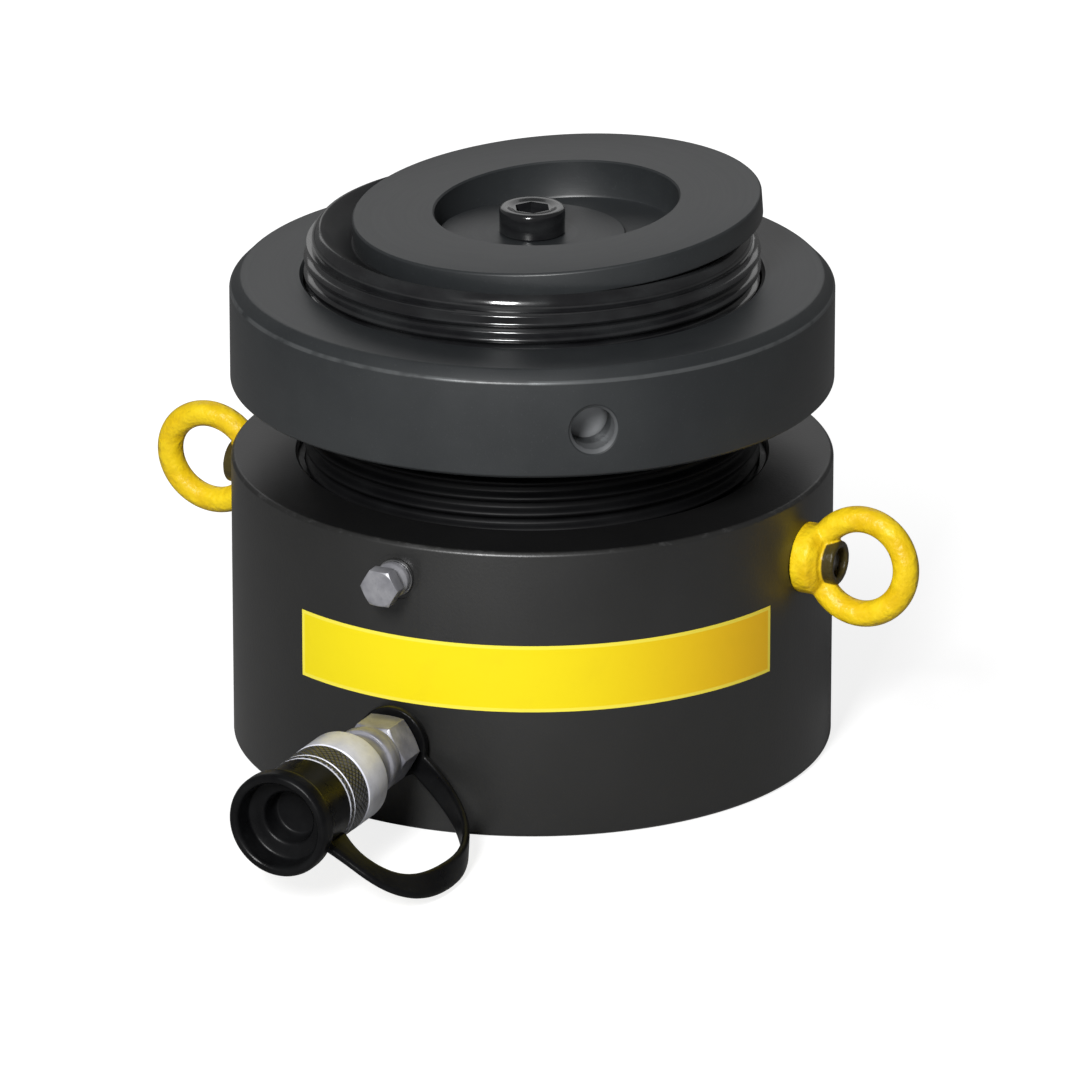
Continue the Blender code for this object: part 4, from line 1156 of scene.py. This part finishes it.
def forged_eye(side):
    """An eye on one side. Smoothing shrinks it, so its rough solids are a little too large."""
    wire = EYE_WIRE * WIRE_GROWTH
    angles = [math.tau * step / 24 for step in range(24)]
    section = [(EYE_RING + wire * math.cos(angle), wire * math.sin(angle)) for angle in angles]
    ring_centre = EYE_RING + EYE_WIRE + 0.0008
    ring = laid(turned(section, 96, ring=True), (0, 0, ring_centre), (1, 0, 0))
    collar = turned(
        [
            (0, 0),
            (EYE_COLLAR + GROWTH, 0),
            (EYE_COLLAR + GROWTH, EYE_COLLAR_HEIGHT - 0.003),
            (EYE_COLLAR - 0.003, EYE_COLLAR_HEIGHT),
            (EYE_HUB + GROWTH, EYE_COLLAR_HEIGHT),
            (EYE_HUB + GROWTH, EYE_HUB_HEIGHT + GROWTH),
            (0, EYE_HUB_HEIGHT + GROWTH),
        ],
        64,
    )
    bore = turned([(0, -0.004), (EYE_BORE, -0.004), (EYE_BORE, 0.016), (0, 0.016)], 48)
    eye = carved(carved(ring, collar, "UNION"), bore)
    eye = smoothed(worked(eye, "REMESH", mode="VOXEL", voxel_size=0.00045), 7)
    laid(closed(eye, 1e-7), (side * EYE_SEAT, 0, EYE_HEIGHT), (side, 0, 0))
    turn = Matrix.Rotation(-side * EYE_TURN, 3, "X")
    bmesh.ops.rotate(eye, cent=(0, 0, EYE_HEIGHT), matrix=turn, verts=eye.verts[:])
    return eye


for side, word in ((1, "right"), (-1, "left")):
    eye_shape = forged_eye(side)
    piece(f"lifting_eye_{word}", eye_shape, "cylinder", "yellow_paint", [f"eye_nut_{word}"], sharp=60)

# %% [markdown]
# ## The studs
#
# Each eye is screwed on a stud, which ends a little way down the hub's dark hole. It gets its own small
# helix.

# %% Studs
STUD_START, STUD_END = -0.012, 0.0115
STUD_CORE, STUD_CREST = 0.0043, 0.005
STUD_PITCH = 0.0015

for side, word in ((1, "right"), (-1, "left")):
    core = turned(
        [
            (0, STUD_START),
            (STUD_CORE, STUD_START),
            (STUD_CORE, STUD_END - 0.0004),
            (STUD_CORE - 0.0004, STUD_END),
            (0, STUD_END),
        ],
        40,
    )
    helix = thread(STUD_CREST, 0.0009, STUD_PITCH, STUD_START + 0.0004, STUD_END - 0.0008, 40)
    stud_shape = joined(core, helix)
    laid(stud_shape, (side * BODY_RADIUS, 0, EYE_HEIGHT), (side, 0, 0))
    piece(f"stud_{word}", stud_shape, "cylinder", "plain_steel", [f"eye_stud_{word}"], sharp=50)

# %% [markdown]
# ## The overflow plug
#
# A small hexagon plug on a washer. The corners of a hexagon head are coned off by the lathe, so the
# head is the overlap of a hexagonal bar and a turned blank. The cone leaves an arc on every flat.


# %% Overflow plug
def hexagon_head(flats, bottom, top, both_ends=False):
    """A hexagon whose corners are coned, at the top or at both ends."""
    corner = flats / math.sqrt(3) + 0.0002
    face = flats / 2 * 0.97
    slope = (corner - face) * math.tan(math.radians(30))
    outline = [(0, bottom), (face if both_ends else corner, bottom)]
    if both_ends:
        outline.append((corner, bottom + slope))
    outline += [(corner, top - slope), (face, top), (0, top)]
    bar = hexagon(flats, bottom - 0.001, top + 0.001)
    return soften(carved(bar, turned(outline, 120), "INTERSECT"), 0.00018, 2, 24)


plug_way = outward(0)
plug_place = plug_way * BODY_RADIUS + Vector((0, 0, PLUG_HEIGHT))
plug_shape = joined(
    hexagon_head(0.013, 0.0088, 0.0144),
    soften(
        turned(
            [
                (0, -0.010),
                (0.0045, -0.010),
                (0.0045, 0.0018),
                (0.0064, 0.0018),
                (0.0064, 0.0040),
                (0.0052, 0.0054),
                (0.0052, 0.0100),
                (0, 0.0100),
            ],
            64,
        ),
        0.0003,
        3,
    ),
)
laid(plug_shape, plug_place, plug_way)
piece("plug_hexagon", plug_shape, "cylinder", "plug_zinc", ["overflow_plug"], 26)
ring_shape = turned([(0.0048, 0), (0.0068, 0), (0.0068, 0.0014), (0.0048, 0.0014)], 64, ring=True)
soften(ring_shape, 0.0002, 2)
laid(ring_shape, plug_place, plug_way)
piece("plug_ring", ring_shape, "cylinder", "plain_steel", ["overflow_plug_washer"], sharp=30)

# %% [markdown]
# ## The coupler
#
# A hexagon nipple screws into the oil port, and the coupler's shell screws on the nipple. The shell has
# a raised ring and a shoulder, and the collar with its knurled band turns freely in front of it. All
# lie on one axis, so each is turned about +Z and then laid along the coupler.

# %% Nipple and shell
coupler_foot = Vector((0, -BODY_RADIUS, COUPLER_HEIGHT))
coupler_way = outward(0)

nipple_shape = joined(
    hexagon_head(0.0225, 0.0065, 0.0200, both_ends=True),
    turned(
        [
            (0.004, -0.0137),
            (0.0082, -0.0137),
            (0.0082, 0.0070),
            (0.0065, 0.0070),
            (0.0065, 0.032),
            (0.004, 0.032),
        ],
        64,
        ring=True,
    ),
)
laid(nipple_shape, coupler_foot, coupler_way)
piece("oil_nipple", nipple_shape, "cylinder", "dull_zinc", ["coupler_nipple"], 26)

shell_shape = turned(
    [
        (0.0068, 0.0203),
        (0.0108, 0.0203),
        (0.0120, 0.0212),
        (0.0120, 0.0232),
        (0.0115, 0.0235),
        (0.0115, 0.0238),
        (0.0128, 0.0241),
        (0.0128, 0.0280),
        (0.0123, 0.0285),
        (0.0117, 0.0286),
        (0.0117, 0.0305),
        (0.0120, 0.0308),
        (0.0120, 0.0390),
        (0.0112, 0.0390),
        (0.0112, 0.0730),
        (0.0100, 0.0742),
        (0.0052, 0.0742),
        (0.0052, 0.0702),
        (0.0084, 0.0702),
        (0.0084, 0.0304),
        (0.0068, 0.0304),
    ],
    96,
    ring=True,
)
soften(shell_shape, 0.00018, 2, 28)
laid(shell_shape, coupler_foot, coupler_way)
piece("coupler_barrel", shell_shape, "cylinder", "dull_zinc", ["coupler_shell"], 30)

# %% [markdown]
# ## The coupler's collar
#
# Smooth at the back, knurled over its front third, with a bright groove before its dark lip. The knurl
# has its own finish, so the faces of that band and of the lip take a second material.

# %% Collar
KNURL_START, KNURL_END = 0.0560, 0.0662
LIP_START = 0.0669
OUTSIDE = 0.016

sleeve_shape = turned(
    [
        (0.0115, 0.0393),
        (0.0152, 0.0393),
        (0.0164, 0.0399),
        (0.0170, 0.0412),
        (0.0170, 0.0550),
        (0.0166, 0.0554),
        (0.0166, 0.0558),
        (0.0169, 0.0561),
        (0.0169, 0.0661),
        (0.0166, 0.0664),
        (0.0166, 0.0668),
        (0.0170, 0.0671),
        (0.0170, 0.0686),
        (0.0167, 0.0689),
        (0.0115, 0.0689),
    ],
    128,
    ring=True,
)
laid(sleeve_shape, coupler_foot, coupler_way)
collar = piece("coupler_collar", sleeve_shape, "coupler_sleeve", "bright_zinc", ["coupler_sleeve"], 30)
collar.data.materials.append(finishes["knurled_zinc"])
for face in collar.data.polygons:
    reach = -face.center.y - BODY_RADIUS
    from_axis = math.hypot(face.center.x, face.center.z - COUPLER_HEIGHT)
    if (KNURL_START < reach < KNURL_END or reach > LIP_START) and from_axis > OUTSIDE:
        face.material_index = 1

# %% [markdown]
# ## The dust cap
#
# A rubber moulding. Its back grips the coupler's nose, and its front is a wide flared cup with a deeper
# hole in the middle, where the hose's own cap parks while the hose is on. Rubber has no hard edges, so
# every corner of the outline is drawn as a small curve.


# %% Dust cap
def eased(outline, radius, steps=4):
    """Replaces each inner corner of an outline by a small curve."""
    points = [Vector(point) for point in outline]
    result = [points[0]]
    for before, corner, after in zip(points, points[1:], points[2:]):
        size = min(radius, (corner - before).length * 0.45, (after - corner).length * 0.45)
        one = corner + (before - corner).normalized() * size
        two = corner + (after - corner).normalized() * size
        result += interpolate_bezier(one, corner * 0.7 + one * 0.3, corner * 0.7 + two * 0.3, two, steps)
    result.append(points[-1])
    return [(point.x, point.y) for point in result]


cap_outline = eased(
    [
        (0, 0.0745),
        (0.0115, 0.0745),
        (0.0115, 0.0692),
        (0.0164, 0.0692),
        (0.0168, 0.0700),
        (0.0168, 0.0850),
        (0.0180, 0.0864),
        (0.0191, 0.0872),
        (0.0193, 0.0885),
        (0.0193, 0.0925),
        (0.0184, 0.0942),
        (0.0165, 0.0942),
        (0.0155, 0.0930),
        (0.0152, 0.0860),
        (0.0128, 0.0853),
        (0.0102, 0.0851),
        (0.0094, 0.0843),
        (0.0092, 0.0785),
        (0.0085, 0.0770),
        (0, 0.0770),
    ],
    0.0009,
)
cap_shape = turned(cap_outline, 112)
laid(cap_shape, coupler_foot, coupler_way)
piece("rubber_cap", cap_shape, "dust_cap", "black_rubber", ["dust_cap"], sharp=60)

# %% [markdown]
# ## The cap's strap
#
# One moulded piece: a flat ring round the nipple's neck, then a strap that twists a quarter turn as it
# loops out and back to the cap. At each step along the loop a flat section stands square to the way, and
# it turns a little more each time. The section is a circle that powers under 1 square off. A voxel skin
# joins the ring and the strap into one soft piece.

# %% Strap
STRAP_DROP = math.radians(33)
STRAP_THICKNESS = 0.0029
STRAP_WIDTH = 0.0095
WIDE_POWER, THIN_POWER = 0.35, 0.7
CAP_END_LENGTH = 0.014
CAP_END_WIDER = 0.0055
CAP_END_THICKER = 0.3


def strap_route(steps):
    """(reach along the coupler, distance from its axis) of the strap's middle."""
    handles = [
        Vector((0.0033, 0.0107)),
        Vector((0.0047, 0.0247)),
        Vector((0.0138, 0.0515)),
        Vector((0.0431, 0.0515)),
        Vector((0.0703, 0.0515)),
        Vector((0.0801, 0.0416)),
        Vector((0.0773, 0.0166)),
    ]
    first = interpolate_bezier(*handles[:4], steps)
    return first + interpolate_bezier(*handles[3:], steps)[1:]


route = [Vector((distance, 0, reach)) for reach, distance in strap_route(40)]
lengths = [0]
for here, there in zip(route, route[1:]):
    lengths.append(lengths[-1] + (there - here).length)
strap_band = bmesh.new()
loops = []
for index, point in enumerate(route):
    ahead = Vector((1 if index == 0 else -1, 0, 0))
    if 0 < index < len(route) - 1:
        ahead = (route[index + 1] - route[index - 1]).normalized()
    share = lengths[index] / lengths[-1]
    twist = math.pi / 2 * share * share * (3 - 2 * share)
    side_way = Vector((0, 1, 0))
    wide = side_way * math.cos(twist) + ahead.cross(side_way) * math.sin(twist)
    thin = ahead.cross(wide)
    at_cap = max(0, 1 - (lengths[-1] - lengths[index]) / CAP_END_LENGTH)
    half_width = (STRAP_WIDTH + CAP_END_WIDER * at_cap * at_cap) / 2
    half_thickness = STRAP_THICKNESS / 2 * (1 + CAP_END_THICKER * at_cap * at_cap)
    ring = []
    for step in range(16):
        turn = math.tau * step / 16
        across = math.copysign(abs(math.cos(turn)) ** WIDE_POWER, math.cos(turn)) * half_width
        through = math.copysign(abs(math.sin(turn)) ** THIN_POWER, math.sin(turn)) * half_thickness
        ring.append(strap_band.verts.new(point + wide * across + thin * through))
    loops.append([strap_band.edges.new(pair) for pair in zip(ring, ring[1:] + ring[:1])])
for here, there in zip(loops, loops[1:]):
    bmesh.ops.bridge_loops(strap_band, edges=here + there)
bmesh.ops.holes_fill(strap_band, edges=loops[0] + loops[-1], sides=0)
closed(strap_band)
neck_ring = turned(
    [(0.0083, 0.0018), (0.0135, 0.0018), (0.0135, 0.0048), (0.0083, 0.0048)], 72, ring=True
)
skin = worked(joined(strap_band, neck_ring), "REMESH", mode="VOXEL", voxel_size=0.00042)
strap_shape = smoothed(skin, 5)
lay = Matrix.Translation(coupler_foot) @ Matrix.Rotation(STRAP_DROP, 4, "Y")
lay = lay @ Matrix.Rotation(math.pi / 2, 4, "X")
bmesh.ops.transform(strap_shape, matrix=lay, verts=strap_shape.verts[:])
strap = piece("cap_band", closed(strap_shape, 1e-7), None, "black_rubber", ["cap_strap"], sharp=60)
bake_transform(strap)

# %% [markdown]
# ## The parts inside
#
# The wiper, the piston's rings, the spacer and the coupler's valve keep their solids as they are. They
# only need their finishes.

# %% Finishes for the parts inside
inside = {
    "rod_wiper": "black_rubber",
    "piston_bearing": "bearing_bronze",
    "piston_seal": "seal_rubber",
    "seal_backup_ring": "seal_plastic",
    "saddle_spacer": "plain_steel",
    "coupler_poppet": "plain_steel",
    "coupler_spring": "plain_steel",
}
for name, finish in inside.items():
    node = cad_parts[name]
    node.data.materials.clear()
    node.data.materials.append(finishes[finish])
    print(name, "is", finish.replace("_", " "))
